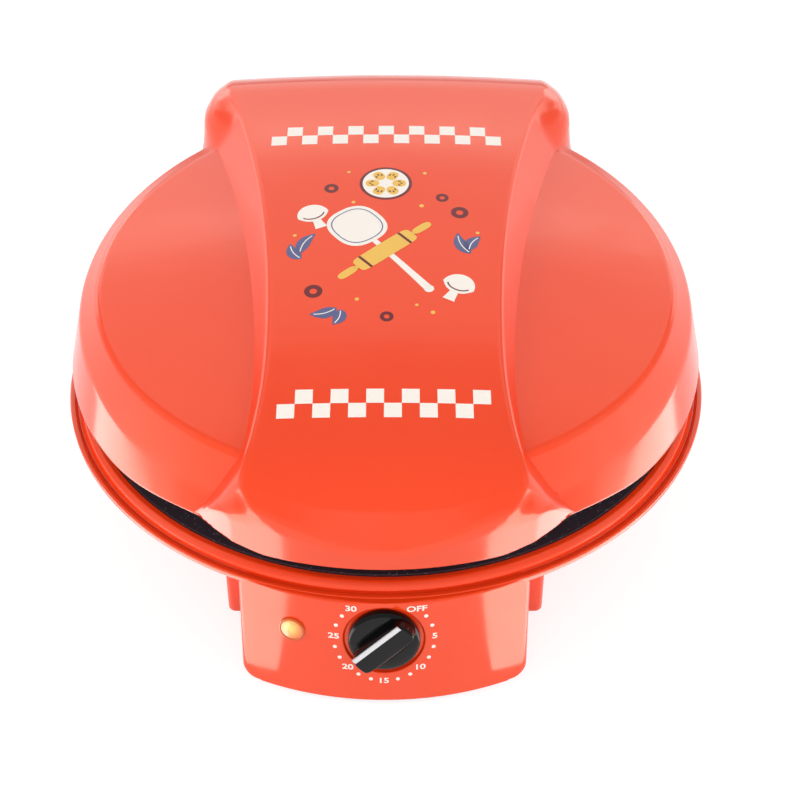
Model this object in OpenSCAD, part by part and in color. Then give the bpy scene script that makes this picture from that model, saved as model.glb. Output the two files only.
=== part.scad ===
// Electric pizza maker: a round two-plate cooker with a hinged lid.
// Millimetres. The origin is on the table, on the axis of the round plates.
// +Z is up, -Y is the front with the control panel, +Y is the hinge side.

/* [Plates] */
// Outer radius of both cast plates, over the flange
plate_r = 160.5; // [145:0.5:175]
// Width of the flange, from the pan's edge out
flange_w = 12.5; // [10:0.5:14]
// Depth of each pan below its flange
pan_depth = 9; // [7:0.5:11]
// Wall thickness of the cast plates
plate_wall = 2.5; // [2:0.5:3]
// Height of the bead on the lower plate
bead_h = 5.5; // [3:0.5:8]
// Width of the beads that close the oven between the plates
bead_w = 3; // [2:0.5:4]
// Gap left between the two beads when the lid is shut
bead_gap = 0.6; // [0.4:0.1:2]
// Length of the cast screw bosses behind each plate
boss_len = 11.2; // [10:0.2:12]
// Distance of the cast bosses in from the pan's edge
boss_in = 23; // [18:1:28]

/* [Heating] */
// Distance of the tubular elements in from the pan's edge
element_in = 48; // [42:1:56]
// Radius of the element tube
element_tube_r = 3.3; // [2.8:0.1:3.6]
// Angle left open between the two ends of an element
element_gap = 12; // [10:1:16]
// Thickness of the heat shields
shield_t = 0.8; // [0.6:0.1:1]
// Thickness of the clip straps
clip_t = 0.8; // [0.6:0.1:1]

/* [Base] */
// How far the base rim stands out past the plates
rim_out = 11.5; // [10.5:0.5:14]
// Height of the rim's lower lip above the table
rim_z = 60; // [58:0.5:64]
// Height of the plate seat above the rim's lip
seat_rise = 3.5; // [3:0.5:4.5]
// Width of the seat under the plates' flanges
seat_lap = 4.5; // [3.5:0.5:5.5]
// Thickness of the plate seats
seat_t = 2.5; // [2:0.5:3]
// How far the bowl draws in from the rim to its bottom edge
bowl_in = 44; // [40:1:48]
// Height of the bowl's bottom edge above the table
bowl_z = 12; // [11:0.5:14]
// Wall thickness of the mouldings
wall = 2.6; // [2:0.2:3]
// Distance of the feet from the middle, sideways
foot_x = 70; // [68:0.5:71]
// How far the feet stand in front of and behind the bowl's bottom edge, less its radius
foot_in = 14; // [12:1:16]
// Width of a moulded leg
leg_w = 22; // [20:1:22]
// Depth of a moulded leg, front to back
leg_d = 26; // [24:1:28]
// Height of a leg's lower end above the table
leg_z = 3; // [2.5:0.5:4]
// Radius of a rubber foot
foot_r = 9; // [7:0.5:9.5]

/* [Control panel] */
// Half width of the control panel
panel_half_w = 70.5; // [68:0.5:74]
// Radius of the panel's curve at the table end
panel_r = 153; // [150:1:156]
// How far the panel's top stands in front of the rim
panel_out = 3.1; // [2.5:0.1:4]
// Backward lean of the panel face, in degrees
panel_lean = 9.7; // [6:0.1:12]
// Height of the panel's lower edge above the table
panel_z = 2; // [1:0.5:2.5]
// Height of the timer dial's centre below the rim's lip
dial_drop = 21; // [20.5:0.5:23]
// Radius of the recess around the knob
dial_recess_r = 19.8; // [18.5:0.1:20]
// Depth of that recess
dial_recess = 3; // [2:0.25:3.5]
// Thickness of the moulding behind the recess
dial_floor_t = 3; // [2:0.5:4]
// Angle of the lamp around the panel's curve, in degrees
lamp_az = 17.7; // [14:0.1:20]
// Height of the lamp's centre below the rim's lip
lamp_drop = 20; // [17:0.5:23]
// Radius of the lamp lens stem
lamp_r = 5; // [4:0.1:5.6]

/* [Timer and knob] */
// Radial gap between the knob and its recess
knob_gap = 2.4; // [1.5:0.1:3]
// Height of the knob's skirt edge
knob_skirt_h = 3.1; // [2.5:0.1:3.6]
// Height of the grip above the panel face
knob_h = 8.2; // [8:0.1:9]
// Reach of the grip's flat top to the side that carries the pointer strip
grip_reach = 7.4; // [7:0.1:7.8]
// Reach of the grip's flat top to the other side
grip_back = 5; // [4:0.1:6]
// Radius of the timer shaft
shaft_r = 3; // [2.5:0.1:3.2]
// Running clearance of a shaft or pin in its bore
run_gap = 0.05; // [0.03:0.01:0.08]
// Angle between two numbers on the dial, in degrees
dial_step = 46.667; // [40:0.1:50]
// Width of the timer's case
timer_w = 40; // [34:1:42]
// Height of the timer's case
timer_h = 34; // [30:1:35]
// Depth of the timer's case
timer_d = 16; // [13:0.5:17]

/* [Lid] */
// Height of the lid's lower edge above the plate seat
lid_gap = 18.5; // [17:0.5:22]
// How far the lid's lower edge draws in from the base rim
lid_in = 4; // [3.5:0.5:5]
// How far the shoulder ring draws in from the lid's lower edge
shoulder_in = 6.7; // [5:0.1:8]
// Height of the shoulder ring above the lid's lower edge
shoulder_h = 30.5; // [28:0.5:33]
// Backward rise of the shoulder ring, in degrees
shoulder_tilt = 6.6; // [5.5:0.1:7]
// How far the crease round the crown draws in from the lid's lower edge
crown_in = 17.5; // [15:0.5:20]
// Height of that crease above the lid's lower edge
crown_h = 43; // [41:0.5:46]
// Backward rise of the crease, in degrees
crown_tilt = 2.1; // [1.5:0.1:2.5]
// Rise of the crown above its crease
crown_rise = 8; // [6:0.5:10]

/* [Lid spine and hood] */
// Height of the spine's highest point above the lid's lower edge
spine_h = 73; // [71:0.5:76]
// Height that the spine loses from there to its nose
spine_drop = 27.5; // [25:0.1:30]
// Distance from the nose curve's start to the base rim's front
nose_len = 40; // [38:0.5:43]
// Radius of the nose curve
nose_r = 55; // [54:0.5:58]
// Radius of the hood's back curve
back_r = 53; // [51:0.5:55]
// Half width of the spine's flat top at its waist
waist_w = 57.8; // [54:0.2:60]
// Distance from the waist to the base rim's front
waist_len = 97; // [92:1:102]
// Plan radius of the spine's edge behind the waist
waist_back_r = 746; // [700:1:900]
// Plan radius of the spine's edge in front of the waist
waist_front_r = 312; // [300:1:400]
// Half width at which the spine stops widening
spine_w_max = 92; // [88:0.5:94]
// Crown radius across the spine
spine_cross_r = 1250; // [1000:10:2000]
// Outward run of the spine's side for each millimetre down
spine_draft = 0.65; // [0.55:0.01:0.75]
// How far the front apron stands out past the base rim
apron_out = 1; // [0.5:0.5:2]
// Half width of the hood
hood_w = 107.5; // [106.5:0.5:110]
// Plan radius of the hood's two back corners
hood_corner_r = 14; // [8:1:20]

/* [Hinge] */
// Distance of the hinge axis behind the base rim
hinge_out = 2; // [1.5:0.5:3]
// Depth of the hinge axis below the lid's lower edge
hinge_drop = 8; // [7:0.5:9]
// Radius of the knuckles round the hinge axis
knuckle_r = 11; // [9.5:0.5:11]
// Clearance between the hinge arms and the hood's wall
arm_gap = 8.9; // [8.4:0.1:9.4]
// Width of a base knuckle
knuckle_w = 14; // [12:0.5:15]
// Width of a lid arm
arm_w = 10; // [9:0.5:11]
// Side gap between a knuckle and an arm
side_gap = 2; // [0.5:0.5:2]
// Radius of the hinge pins
pin_r = 3; // [2.8:0.1:3.5]
// Radius of the wire passage through the hollow pin
pin_bore_r = 2; // [1.8:0.1:2.2]

/* [Rear housing] */
// Half width of the rear housing
rear_half_w = 100; // [96:0.5:102]
// Distance of its back wall behind the hinge axis
rear_out = 8; // [7:0.5:10]
// Height of the hinge axis above its deck
deck_drop = 26; // [25:0.5:28]
// Sideways place of the cord gland
gland_x = 45; // [40:1:55]
// Height of the cord gland above the bowl's bottom edge
gland_rise = 18; // [15:0.5:20]
// Radius of the gland's cord bore
cord_r = 3.6; // [3:0.1:4]
// Length of the gland, over its collar and nose
gland_len = 14; // [13:0.5:15]

/* [Wiring] */
// Radius of a wire bundle
wire_r = 1.6; // [1.2:0.1:1.6]
// Height at which the loom lies above the bowl's bottom edge
loom_rise = 7; // [5:0.5:9]

/* [Hidden] */

$fn = 120;
fit = 0.2;
red = "orangered";
cast = "dimgray";
tin = "silver";
dark = "black";

// Radii, all from the plates outwards and inwards
pan_r = plate_r - flange_w;
boss_ring_r = pan_r - boss_in;
element_r = pan_r - element_in;
rim_r = plate_r + rim_out;
seat_r = plate_r - seat_lap;
bowl_r = rim_r - bowl_in;
lid_r = rim_r - lid_in;
shoulder_r = lid_r - shoulder_in;
crown_r = lid_r - crown_in;
apron_r = rim_r + apron_out;
knob_r = dial_recess_r - knob_gap;
// Heights, all from the rim's lip
seat_z = rim_z + seat_rise;
lid_z = seat_z + lid_gap;
shoulder_z = lid_z + shoulder_h;
crown_z = lid_z + crown_h;
spine_top = lid_z + spine_h;
dial_z = rim_z - dial_drop;
lamp_z = rim_z - lamp_drop;
hinge_z = lid_z - hinge_drop;
deck_z = hinge_z - deck_drop;
gland_z = bowl_z + gland_rise;
loom_z = bowl_z + loom_rise;
// Places from front to back
foot_y = bowl_r - foot_in;
nose_y = rim_r - nose_len;
waist_y = rim_r - waist_len;
hinge_y = rim_r + hinge_out;
spine_top_y = hinge_y - 34;
rear_y = hinge_y + rear_out;
spine_run = spine_top_y + nose_y;
spine_long_r = (spine_run * spine_run + spine_drop * spine_drop) / (2 * spine_drop);
// Plates: the lower one sits on the base seat, the upper one hangs under the lid seat
lower_flange_z = seat_z + plate_wall;
upper_flange_z = lid_z + 0.5 - plate_wall;
lower_back_z = lower_flange_z - pan_depth - plate_wall;
upper_back_z = upper_flange_z + pan_depth + plate_wall;
upper_bead_h = upper_flange_z - lower_flange_z - bead_h - bead_gap;
// Base rim and bowl
land_z = seat_z + 1.5;
land_r = plate_r + fit + 2.2;
bowl_top_r = rim_r - 7;
bowl_top_z = rim_z - 5;
bowl_slope = (bowl_top_r - bowl_r) / (bowl_top_z - bowl_z);
// Panel: a slice of a cone that leans back
panel_top_z = rim_z;
panel_slope = tan(panel_lean);
panel_top_r = panel_r - panel_slope * (panel_top_z - panel_z);
panel_axis_y = rim_r + panel_out - panel_top_r;
dial_y = -panel_axis_y - panel_face_r(dial_z);
timer_back = -dial_recess - dial_floor_t;
// End of the timer shaft, inside the knob's grip
shaft_top = knob_h - 3;
bell_z = timer_back - timer_d - 6;
// Height left under the rim inside the panel housing
panel_roof_z = rim_z - 3.5;
// Shields
lower_shield_z = lower_back_z - boss_len - shield_t;
upper_shield_z = upper_back_z + boss_len;
// Rubber foot standing in its leg
foot_sink = 1.5;
tray_z = 4;
cover_t = 2.4;
vent_r = 0.3 * bowl_r;
vent_len = 0.3 * bowl_r;
vent_w = 4;
screw_r = 1.9;
screw_head_r = 3.6;
screw_head_h = 1.8;
// Where the hood grows out of the spine
hood_start_y = spine_top_y - 28;
hood_full_y = spine_top_y + 6;
long_start = asin(spine_run / spine_long_r);
// Depth of the dome's crease under the nose
crease_gap = 2;
hood_back_y = spine_top_y + back_r - wall;
arm_reach = arm_w + arm_gap - 0.8;
// Inner faces of the base knuckles, set in from the hood's wall
knuckle_x = hood_w - wall - arm_gap - arm_w - side_gap - knuckle_w;
// Thermostats and fuse, left and right of the middle
thermostat_x = 0.38 * element_r;
// Knob angle at rest: the pointer stands on 20 of the 0 to 30 minute dial
dial_off = 40;
pointer_at = dial_off + 4 * dial_step;

function panel_face_r(z) = panel_r - tan(panel_lean) * (z - panel_z);
function bowl_face_r(z) = bowl_r + bowl_slope * (z - bowl_z);

// Spine seen from the side: back arc, long arc and nose arc, moved inwards by inset
function nose_z0() = spine_top - spine_long_r * (1 - cos(long_start));
function spine_z(y, inset = 0) =
    y > spine_top_y ?
        spine_top - back_r
            + sqrt(max(0, pow(back_r - inset, 2) - pow(y - spine_top_y, 2))) :
    y > -nose_y ?
        spine_top - spine_long_r
            + sqrt(pow(spine_long_r - inset, 2) - pow(y - spine_top_y, 2)) :
        nose_z0() - nose_r * cos(long_start)
            + sqrt(pow(nose_r - inset, 2)
                - pow(y + nose_y - nose_r * sin(long_start), 2));
// Spine seen from above: half width of its flat top, two arcs that meet at the waist
function waist_arc(y) = y > -waist_y ? waist_back_r : waist_front_r;
function spine_w(y) = min(spine_w_max,
    waist_w + waist_arc(y)
        - sqrt(pow(waist_arc(y), 2) - pow(y + waist_y, 2)));
function corner(y, inset) =
    let(r = hood_corner_r - inset, d = y - spine_top_y - back_r + hood_corner_r)
    d > 0 ? r - sqrt(max(0, r * r - d * d)) : 0;
function ease(t) = t < 0 ? 0 : t > 1 ? 1 : t * t * (3 - 2 * t);
function mix(a, b, t) = a + (b - a) * t;

// One cross-section of the spine and hood at y, from its middle to its lower edge
function half_section(y, inset) =
    let(
        top = spine_z(y, inset),
        w = spine_w(y) - inset - corner(y, inset),
        t = ease((y - hood_start_y) / (hood_full_y - hood_start_y)),
        edge = top - w * w / (2 * spine_cross_r),
        low = lid_z - (inset > 0 ? 5 : 0),
        drop = mix(min(10, 0.4 * (edge - low)), 7, t),
        fall = mix(min(20, 0.75 * (edge - low)), 17, t),
        side = hood_w - inset - corner(y, inset)
    ) [
        [0, top],
        [w / 2, top - w * w / (8 * spine_cross_r)],
        [w - 3, edge],
        [w - 0.6, edge - 0.9],
        [w + 1, edge - 3],
        [mix(w + spine_draft * drop, side - 6.5, t), edge - drop],
        [mix(w + spine_draft * fall, side - 0.5, t), edge - fall],
        [mix(w + spine_draft * (edge - low), side, t), low]
    ];
function full_section(y, inset) =
    let(half = half_section(y, inset), n = len(half)) concat(
        [for (i = [n - 1:-1:1]) [-half[i][0], y, half[i][1]]],
        [for (i = [0:n - 1]) [half[i][0], y, half[i][1]]]
    );

// Solid through a row of cross-sections that have equal numbers of points
module skin(sections) {
    n = len(sections[0]);
    m = len(sections);
    polyhedron(
        points = [for (s = sections) for (p = s) p],
        faces = concat(
            [for (i = [0:m - 2]) for (j = [0:n - 1])
                let(k = (j + 1) % n) [i * n + j, (i + 1) * n + k, i * n + k]],
            [for (i = [0:m - 2]) for (j = [0:n - 1])
                let(k = (j + 1) % n) [i * n + j, (i + 1) * n + j, (i + 1) * n + k]],
            [[for (j = [0:n - 1]) j]],
            [[for (j = [n - 1:-1:0]) (m - 1) * n + j]]
        )
    );
}

// Stations along the spine: close on the nose and the back, wide on the long arc
function spine_stations(inset) = concat(
    [for (i = [0:11]) -apron_r - 1 + inset + i * (apron_r + 1 - inset - nose_y) / 12],
    [for (i = [0:17]) -nose_y + i * (nose_y + hood_start_y) / 18],
    [for (i = [0:5]) hood_start_y + i * (spine_top_y - hood_start_y) / 6],
    [for (a = [0:10:80]) spine_top_y + (back_r - inset) * sin(a)],
    [spine_top_y + (back_r - inset) * 0.9995]
);
module spine(inset) {
    intersection() {
        skin([for (y = spine_stations(inset)) full_section(y, inset)]);
        union() {
            cylinder(r = apron_r - inset, h = 2 * spine_top);
            translate([-hood_w, 0, 0]) cube([2 * hood_w, 2 * hinge_y, 2 * spine_top]);
        }
    }
}
// The round part of the lid: straight edge, rising shoulder ring and flat crown
function ring(r, z, tilt) = [
    for (a = [3.75:3.75:360])
        [r * cos(a), r * sin(a) * cos(tilt), z + r * sin(a) * sin(tilt)]
];
// The crease ring, pressed down where the spine's nose passes over it
function crease_ring(inset) = [
    for (p = ring(crown_r - inset, crown_z - inset, crown_tilt))
        p[1] < 0 && abs(p[0]) < waist_w ?
            [p[0], p[1], min(p[2],
                spine_z(p[1]) - p[0] * p[0] / (2 * spine_cross_r) - inset - crease_gap)] :
            p
];
module lid_dome(inset) {
    low = inset > 0 ? 5 : 0;
    skin(concat(
        [ring(lid_r - inset, lid_z - low, 0)],
        [ring(shoulder_r - inset, shoulder_z - inset / 2, shoulder_tilt)],
        [crease_ring(inset)],
        [for (f = [0.85, 0.65, 0.4, 0.15])
            ring(f * crown_r, crown_z - inset + crown_rise * (1 - f * f), crown_tilt)]
    ));
}
module lid_body(inset) {
    union() {
        lid_dome(inset);
        spine(inset);
    }
}
module seat_ring(z) {
    rotate_extrude() translate([seat_r, z]) square([lid_r - seat_r - wall + 0.4, seat_t]);
}

module lid_shell() color(red) difference() {
    lid_body(0);
    difference() {
        lid_body(wall);
        seat_ring(lid_z + 0.5);
    }
}

// Cast plate lying with its flange's cooking side at z = 0 and its pan below
module plate_section(bead) {
    back = -pan_depth - plate_wall;
    polygon([
        [0, back], [pan_r - 3, back], [pan_r + plate_wall, back + 6],
        [pan_r + plate_wall, -plate_wall], [plate_r, -plate_wall], [plate_r, 0],
        [pan_r + 1.5 + bead_w, 0], [pan_r + 1.2 + bead_w, bead],
        [pan_r + 1.8, bead], [pan_r + 1.5, 0], [pan_r, 0],
        [pan_r - 3.5, -pan_depth + 1.5], [pan_r - 5.5, -pan_depth], [0, -pan_depth]
    ]);
}
module at_bosses() {
    for (a = [45:90:315]) rotate(a) translate([boss_ring_r, 0, 0]) children();
}
module cast_plate(bead) {
    difference() {
        union() {
            rotate_extrude() plate_section(bead);
            translate([0, 0, -pan_depth - plate_wall - boss_len])
                at_bosses() cylinder(r = 5, h = boss_len + 1, $fn = 32);
        }
        translate([0, 0, -pan_depth - plate_wall - boss_len - 1])
            at_bosses() cylinder(r = screw_r + run_gap, h = boss_len + 1, $fn = 24);
    }
}
module lower_plate() color(cast) translate([0, 0, lower_flange_z])
    cast_plate(bead_h);
module upper_plate() color(cast)
    translate([0, 0, upper_flange_z]) mirror([0, 0, 1]) cast_plate(upper_bead_h);

// Tubular element under a plate whose back is at z = 0, with its ends turned down
module element(end_len) {
    drop = -element_tube_r - 0.1;
    half = element_gap / 2;
    translate([0, 0, drop]) {
        rotate(half - 90) rotate_extrude(angle = 360 - element_gap)
            translate([element_r, 0]) circle(r = element_tube_r, $fn = 32);
        for (s = [-1, 1]) rotate(s * half - 90) translate([element_r, 0, 0]) {
            sphere(r = element_tube_r, $fn = 32);
            translate([0, 0, -end_len]) cylinder(r = element_tube_r, h = end_len, $fn = 32);
            translate([0, 0, -end_len - 6]) cylinder(r = 1.2, h = 7, $fn = 24);
        }
    }
}
module lower_element() color(tin) translate([0, 0, lower_back_z]) element(boss_len);
module upper_element() color(tin)
    translate([0, 0, upper_back_z]) mirror([0, 1, 0]) mirror([0, 0, 1]) element(boss_len);

// Three straps that hold the element against the plate's back
module clips() {
    r = element_tube_r + 0.15;
    for (a = [30, 150, 270 - 45]) rotate(a - 4)
        rotate_extrude(angle = 8) translate([element_r, 0]) polygon([
            [-r - 6, 0], [-r - clip_t, 0], [-r - clip_t, 0.1], [-r, 0.1],
            [-r, -2 * r], [r, -2 * r], [r, 0.1], [r + clip_t, 0.1],
            [r + clip_t, 0], [r + 6, 0], [r + 6, -clip_t], [r + clip_t, -clip_t],
            [r + clip_t, -2 * r - clip_t], [-r - clip_t, -2 * r - clip_t],
            [-r - clip_t, -clip_t], [-r - 6, -clip_t]
        ]);
}
module clip_set() {
    difference() {
        clips();
        cylinder(r = 2 * element_r, h = 1);
    }
}
module lower_clips() color(tin) translate([0, 0, lower_back_z]) clip_set();
module upper_clips() color(tin)
    translate([0, 0, upper_back_z]) mirror([0, 1, 0]) mirror([0, 0, 1]) clip_set();

// Dished shield: floor at the boss ends, a coned wall and a flange behind the seat
module shield(seat_back) {
    floor_z = -pan_depth - plate_wall - boss_len - shield_t;
    top_z = seat_back;
    wall_r = seat_r - 4;
    difference() {
        rotate_extrude() polygon([
            [0, floor_z], [wall_r - 9, floor_z], [wall_r + shield_t, top_z - shield_t],
            [seat_r + 3, top_z - shield_t], [seat_r + 3, top_z], [wall_r, top_z],
            [wall_r - 9 - shield_t, floor_z + shield_t], [0, floor_z + shield_t]
        ]);
        translate([0, 0, floor_z - 1]) {
            at_bosses() cylinder(r = screw_r + 0.4, h = 3, $fn = 24);
            for (s = [-1, 1]) rotate(s * element_gap / 2 - 90)
                translate([element_r, 0, 0]) cylinder(r = element_tube_r + 1, h = 3, $fn = 32);
        }
    }
}
module lower_shield() color(tin)
    translate([0, 0, lower_flange_z]) shield(-plate_wall - seat_t);
module upper_shield() color(tin)
    translate([0, 0, upper_flange_z]) mirror([0, 1, 0]) mirror([0, 0, 1])
        shield(-plate_wall - seat_t);

// Screws through a shield into the cast bosses, for a plate whose flange is at z = 0
module plate_screws() {
    under = -pan_depth - plate_wall - boss_len - shield_t;
    at_bosses() {
        translate([0, 0, under - screw_head_h])
            cylinder(r = screw_head_r, h = screw_head_h, $fn = 32);
        translate([0, 0, under]) cylinder(r = screw_r, h = boss_len - 1, $fn = 24);
    }
}
module lower_screws() color(tin) translate([0, 0, lower_flange_z]) plate_screws();
module upper_screws() color(tin)
    translate([0, 0, upper_flange_z]) mirror([0, 0, 1]) plate_screws();

// Snap-disc thermostat against a plate's back at z = 0, with two blade terminals
module thermostat() {
    translate([0, 0, -6.5]) cylinder(r = 8.2, h = 6.5, $fn = 48);
    for (s = [-1, 1]) translate([s * 4 - 0.4, -2.4, -9.5]) cube([0.8, 4.8, 3.5]);
}
module lower_thermostat() color(dark) translate([thermostat_x, 0, lower_back_z]) thermostat();
module upper_thermostat() color(dark)
    translate([thermostat_x, 0, upper_back_z]) mirror([0, 0, 1]) thermostat();
module thermal_fuse() color(tin) translate([-thermostat_x, 0, lower_back_z - 2.2]) rotate([90, 0, 0]) {
    translate([0, 0, -6]) cylinder(r = 2.2, h = 12, $fn = 32);
    translate([0, 0, -18]) cylinder(r = 0.6, h = 36, $fn = 16);
}

// Base rim and bowl in section, from the seat round the rim lip and down the bowl
module bowl_section() {
    inner_top = bowl_face_r(bowl_top_z) - wall;
    polygon([
        [plate_r + fit, land_z], [plate_r + fit, seat_z], [seat_r, seat_z],
        [seat_r, seat_z - seat_t], [inner_top, seat_z - seat_t], [inner_top, bowl_top_z],
        [bowl_r - wall, bowl_z], [bowl_r, bowl_z], [bowl_top_r, bowl_top_z],
        [rim_r - 3, rim_z - 3.4], [rim_r - 0.6, rim_z - 2.6], [rim_r, rim_z - 1],
        [rim_r - 0.3, rim_z + 0.6], [rim_r - 1.6, rim_z + 1.4], [rim_r - 3, rim_z + 1],
        [rim_r - 3.6, rim_z + 0.2], [rim_r - 4.4, rim_z + 0.3],
        [rim_r - 5, rim_z + 1.6], [rim_r - 6.4, rim_z + 3.6],
        [land_r + 0.6, land_z - 0.5], [land_r - 0.3, land_z]
    ]);
}
module bowl_hollow() {
    r = bowl_face_r(bowl_top_z) - wall / 2;
    rotate_extrude() polygon([
        [0, bowl_z - 2], [bowl_face_r(bowl_z - 2) - wall / 2, bowl_z - 2],
        [r, bowl_top_z], [r, rim_z + 9], [0, rim_z + 9]
    ]);
}
module round_rect(w, d, r) {
    square([w - 2 * r, d], center = true);
    square([w, d - 2 * r], center = true);
    for (x = [-1, 1]) for (y = [-1, 1])
        translate([x * (w / 2 - r), y * (d / 2 - r)]) circle(r = r, $fn = 48);
}
// Panel housing: a cone slice in plan, cut to a rounded rectangle seen from the front
module panel_block(inset, low, high) {
    intersection() {
        translate([0, -panel_axis_y, low])
            cylinder(r1 = panel_face_r(low) - inset, r2 = panel_face_r(high) - inset,
                h = high - low, $fn = 240);
        translate([0, -bowl_r + 20, low + (high - low) / 2 + 10]) rotate([90, 0, 0])
            linear_extrude(height = rim_r)
                round_rect(2 * (panel_half_w - inset), high - low + 20, 5);
    }
}
module panel_hollow() {
    intersection() {
        panel_block(wall, panel_z - 6, panel_roof_z);
        translate([-rim_r, -2 * rim_r, -1]) cube([2 * rim_r, 2 * rim_r - foot_y - leg_d / 2 - 1, rim_r]);
    }
    translate([leg_w / 2 + 0.6 - foot_x, -foot_y - leg_d, -1])
        cube([2 * foot_x - leg_w - 1.2, leg_d + 6, panel_roof_z + 1]);
}
module rear_block(inset, low, high) {
    depth = rear_y - bowl_r + 28 - inset;
    translate([0, rear_y - inset - depth / 2, low]) linear_extrude(height = high - low)
        round_rect(2 * (rear_half_w - inset), depth, 12);
}
module at_feet() {
    for (x = [-1, 1]) for (y = [-1, 1]) translate([x * foot_x, y * foot_y, 0]) children();
}
module at_dial() {
    translate([0, dial_y, dial_z]) rotate([90 - panel_lean, 0, 0]) children();
}
module at_lamp() {
    rotate(0) translate([0, -panel_axis_y, 0]) rotate(-lamp_az)
        translate([0, -panel_face_r(lamp_z), lamp_z]) rotate([90 - panel_lean, 0, 0]) children();
}
module at_gland() {
    translate([gland_x, rear_y, gland_z]) rotate([-90, 0, 0]) children();
}
// Points where the bottom cover is screwed to the bowl
module at_cover_bosses() {
    for (a = [20, 160, 200, 340]) rotate(a) translate([bowl_r - 10, 0, 0]) children();
}

module base_shell() color(red) difference() {
    union() {
        rotate_extrude($fn = 180) bowl_section();
        difference() {
            union() {
                panel_block(0, panel_z, panel_top_z + 1);
                rear_block(0, bowl_z, deck_z);
                at_feet() translate([0, 0, leg_z]) linear_extrude(height = 36)
                    round_rect(leg_w, leg_d, 4);
            }
            bowl_hollow();
        }
        at_dial() translate([0, 0, timer_back])
            cylinder(r = dial_recess_r + 2.4, h = dial_floor_t + 1.6, $fn = 96);
        intersection() {
            at_cover_bosses() {
                translate([0, 0, bowl_z + cover_t]) cylinder(r = 5, h = 14, $fn = 32);
                translate([0, -1, bowl_z + cover_t]) cube([16, 2, 14]);
            }
            rotate_extrude() polygon([
                [0, bowl_z], [bowl_r - 1, bowl_z], [bowl_face_r(deck_z) - 1, deck_z], [0, deck_z]
            ]);
        }
    }
    difference() {
        panel_hollow();
        at_dial() translate([0, 0, timer_back])
            cylinder(r = dial_recess_r + 2.4, h = dial_floor_t + 6, $fn = 96);
    }
    rear_block(wall, bowl_z + wall, deck_z - wall);
    at_dial() translate([0, 0, -dial_recess]) cylinder(r = dial_recess_r, h = 10, $fn = 96);
    at_dial() translate([0, 0, -12]) cylinder(r = shaft_r + 0.5, h = 20, $fn = 48);
    at_lamp() translate([0, 0, -8]) cylinder(r = lamp_r + 0.1, h = 12, $fn = 48);
    translate([19 - knuckle_x, hinge_y - 6.5, deck_z - 10]) cylinder(r = 3.5, h = 20, $fn = 32);
    at_gland() translate([0, 0, -10]) cylinder(r = cord_r + 3.4, h = 12, $fn = 48);
    at_feet() translate([0, 0, leg_z - 1]) cylinder(r = foot_r + 0.1, h = foot_sink + 1, $fn = 48);
    at_cover_bosses() translate([0, 0, bowl_z]) cylinder(r = screw_r + run_gap, h = 13, $fn = 24);
}

module rubber_feet() color(dark) at_feet() {
    cylinder(r = foot_r, h = leg_z + foot_sink, $fn = 48);
}

// Bottom cover: a vented disc with a lower tray that closes the panel housing
module bottom_cover() color(dark) difference() {
    union() {
        translate([0, 0, bowl_z]) cylinder(r = bowl_r - wall - fit, h = cover_t);
        intersection() {
            panel_block(wall + fit, tray_z, tray_z + cover_t);
            translate([-rim_r, -2 * rim_r, 0])
                cube([2 * rim_r, 2 * rim_r - foot_y - leg_d / 2 - 1, rim_r]);
        }
        tray_w = 2 * foot_x - leg_w - 2;
        translate([-tray_w / 2, -foot_y - leg_d / 2 - 3, tray_z])
            cube([tray_w, leg_d / 2 + 3, cover_t]);
        translate([-tray_w / 2, -foot_y, tray_z]) cube([tray_w, cover_t, bowl_z - tray_z + 1]);
    }
    for (a = [0:30:330]) rotate(a)
        translate([vent_r, -vent_w / 2, bowl_z - 1]) cube([vent_len, vent_w, cover_t + 2]);
    at_cover_bosses() translate([0, 0, bowl_z - 1])
        cylinder(r = screw_r + 0.3, h = cover_t + 2, $fn = 24);
}
module cover_screws() color(tin) at_cover_bosses() {
    translate([0, 0, bowl_z - screw_head_h])
        cylinder(r = screw_head_r, h = screw_head_h, $fn = 32);
    translate([0, 0, bowl_z - 0.5]) cylinder(r = screw_r, h = 12, $fn = 24);
}

// Clockwork timer: case with its front plate against the dial boss
module timer_case() color(tin) at_dial() difference() {
    union() {
        translate([-timer_w / 2 - 7, -10, timer_back - 1.2]) cube([timer_w + 14, 20, 1.2]);
        translate([-timer_w / 2, -timer_h / 2, timer_back - 1.2 - timer_d])
            cube([timer_w, timer_h, timer_d]);
        translate([0, -4, bell_z]) cylinder(r = 2, h = 7, $fn = 32);
    }
    translate([0, 0, timer_back - timer_d + 1])
        cylinder(r = shaft_r + run_gap, h = timer_d + 6, $fn = 48);
    for (s = [-1, 1]) translate([s * (timer_w / 2 + 3.5), 0, timer_back - 3])
        cylinder(r = screw_r + 0.2, h = 5, $fn = 24);
}
module timer_bell() color("gold") at_dial()
    translate([0, -4, bell_z]) rotate_extrude() polygon([
        [0, 0], [6, 0], [10.5, 1.6], [12.6, 3.6], [12.6, 2.7], [11, 0.8], [6.2, -0.9], [0, -0.9]
    ]);
module timer_screws() color(tin) at_dial()
    for (s = [-1, 1]) translate([s * (timer_w / 2 + 3.5), 0, timer_back - 1.2]) {
        translate([0, 0, -screw_head_h]) cylinder(r = screw_head_r - 0.4, h = screw_head_h, $fn = 32);
        cylinder(r = screw_r, h = 1.1, $fn = 24);
    }

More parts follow.
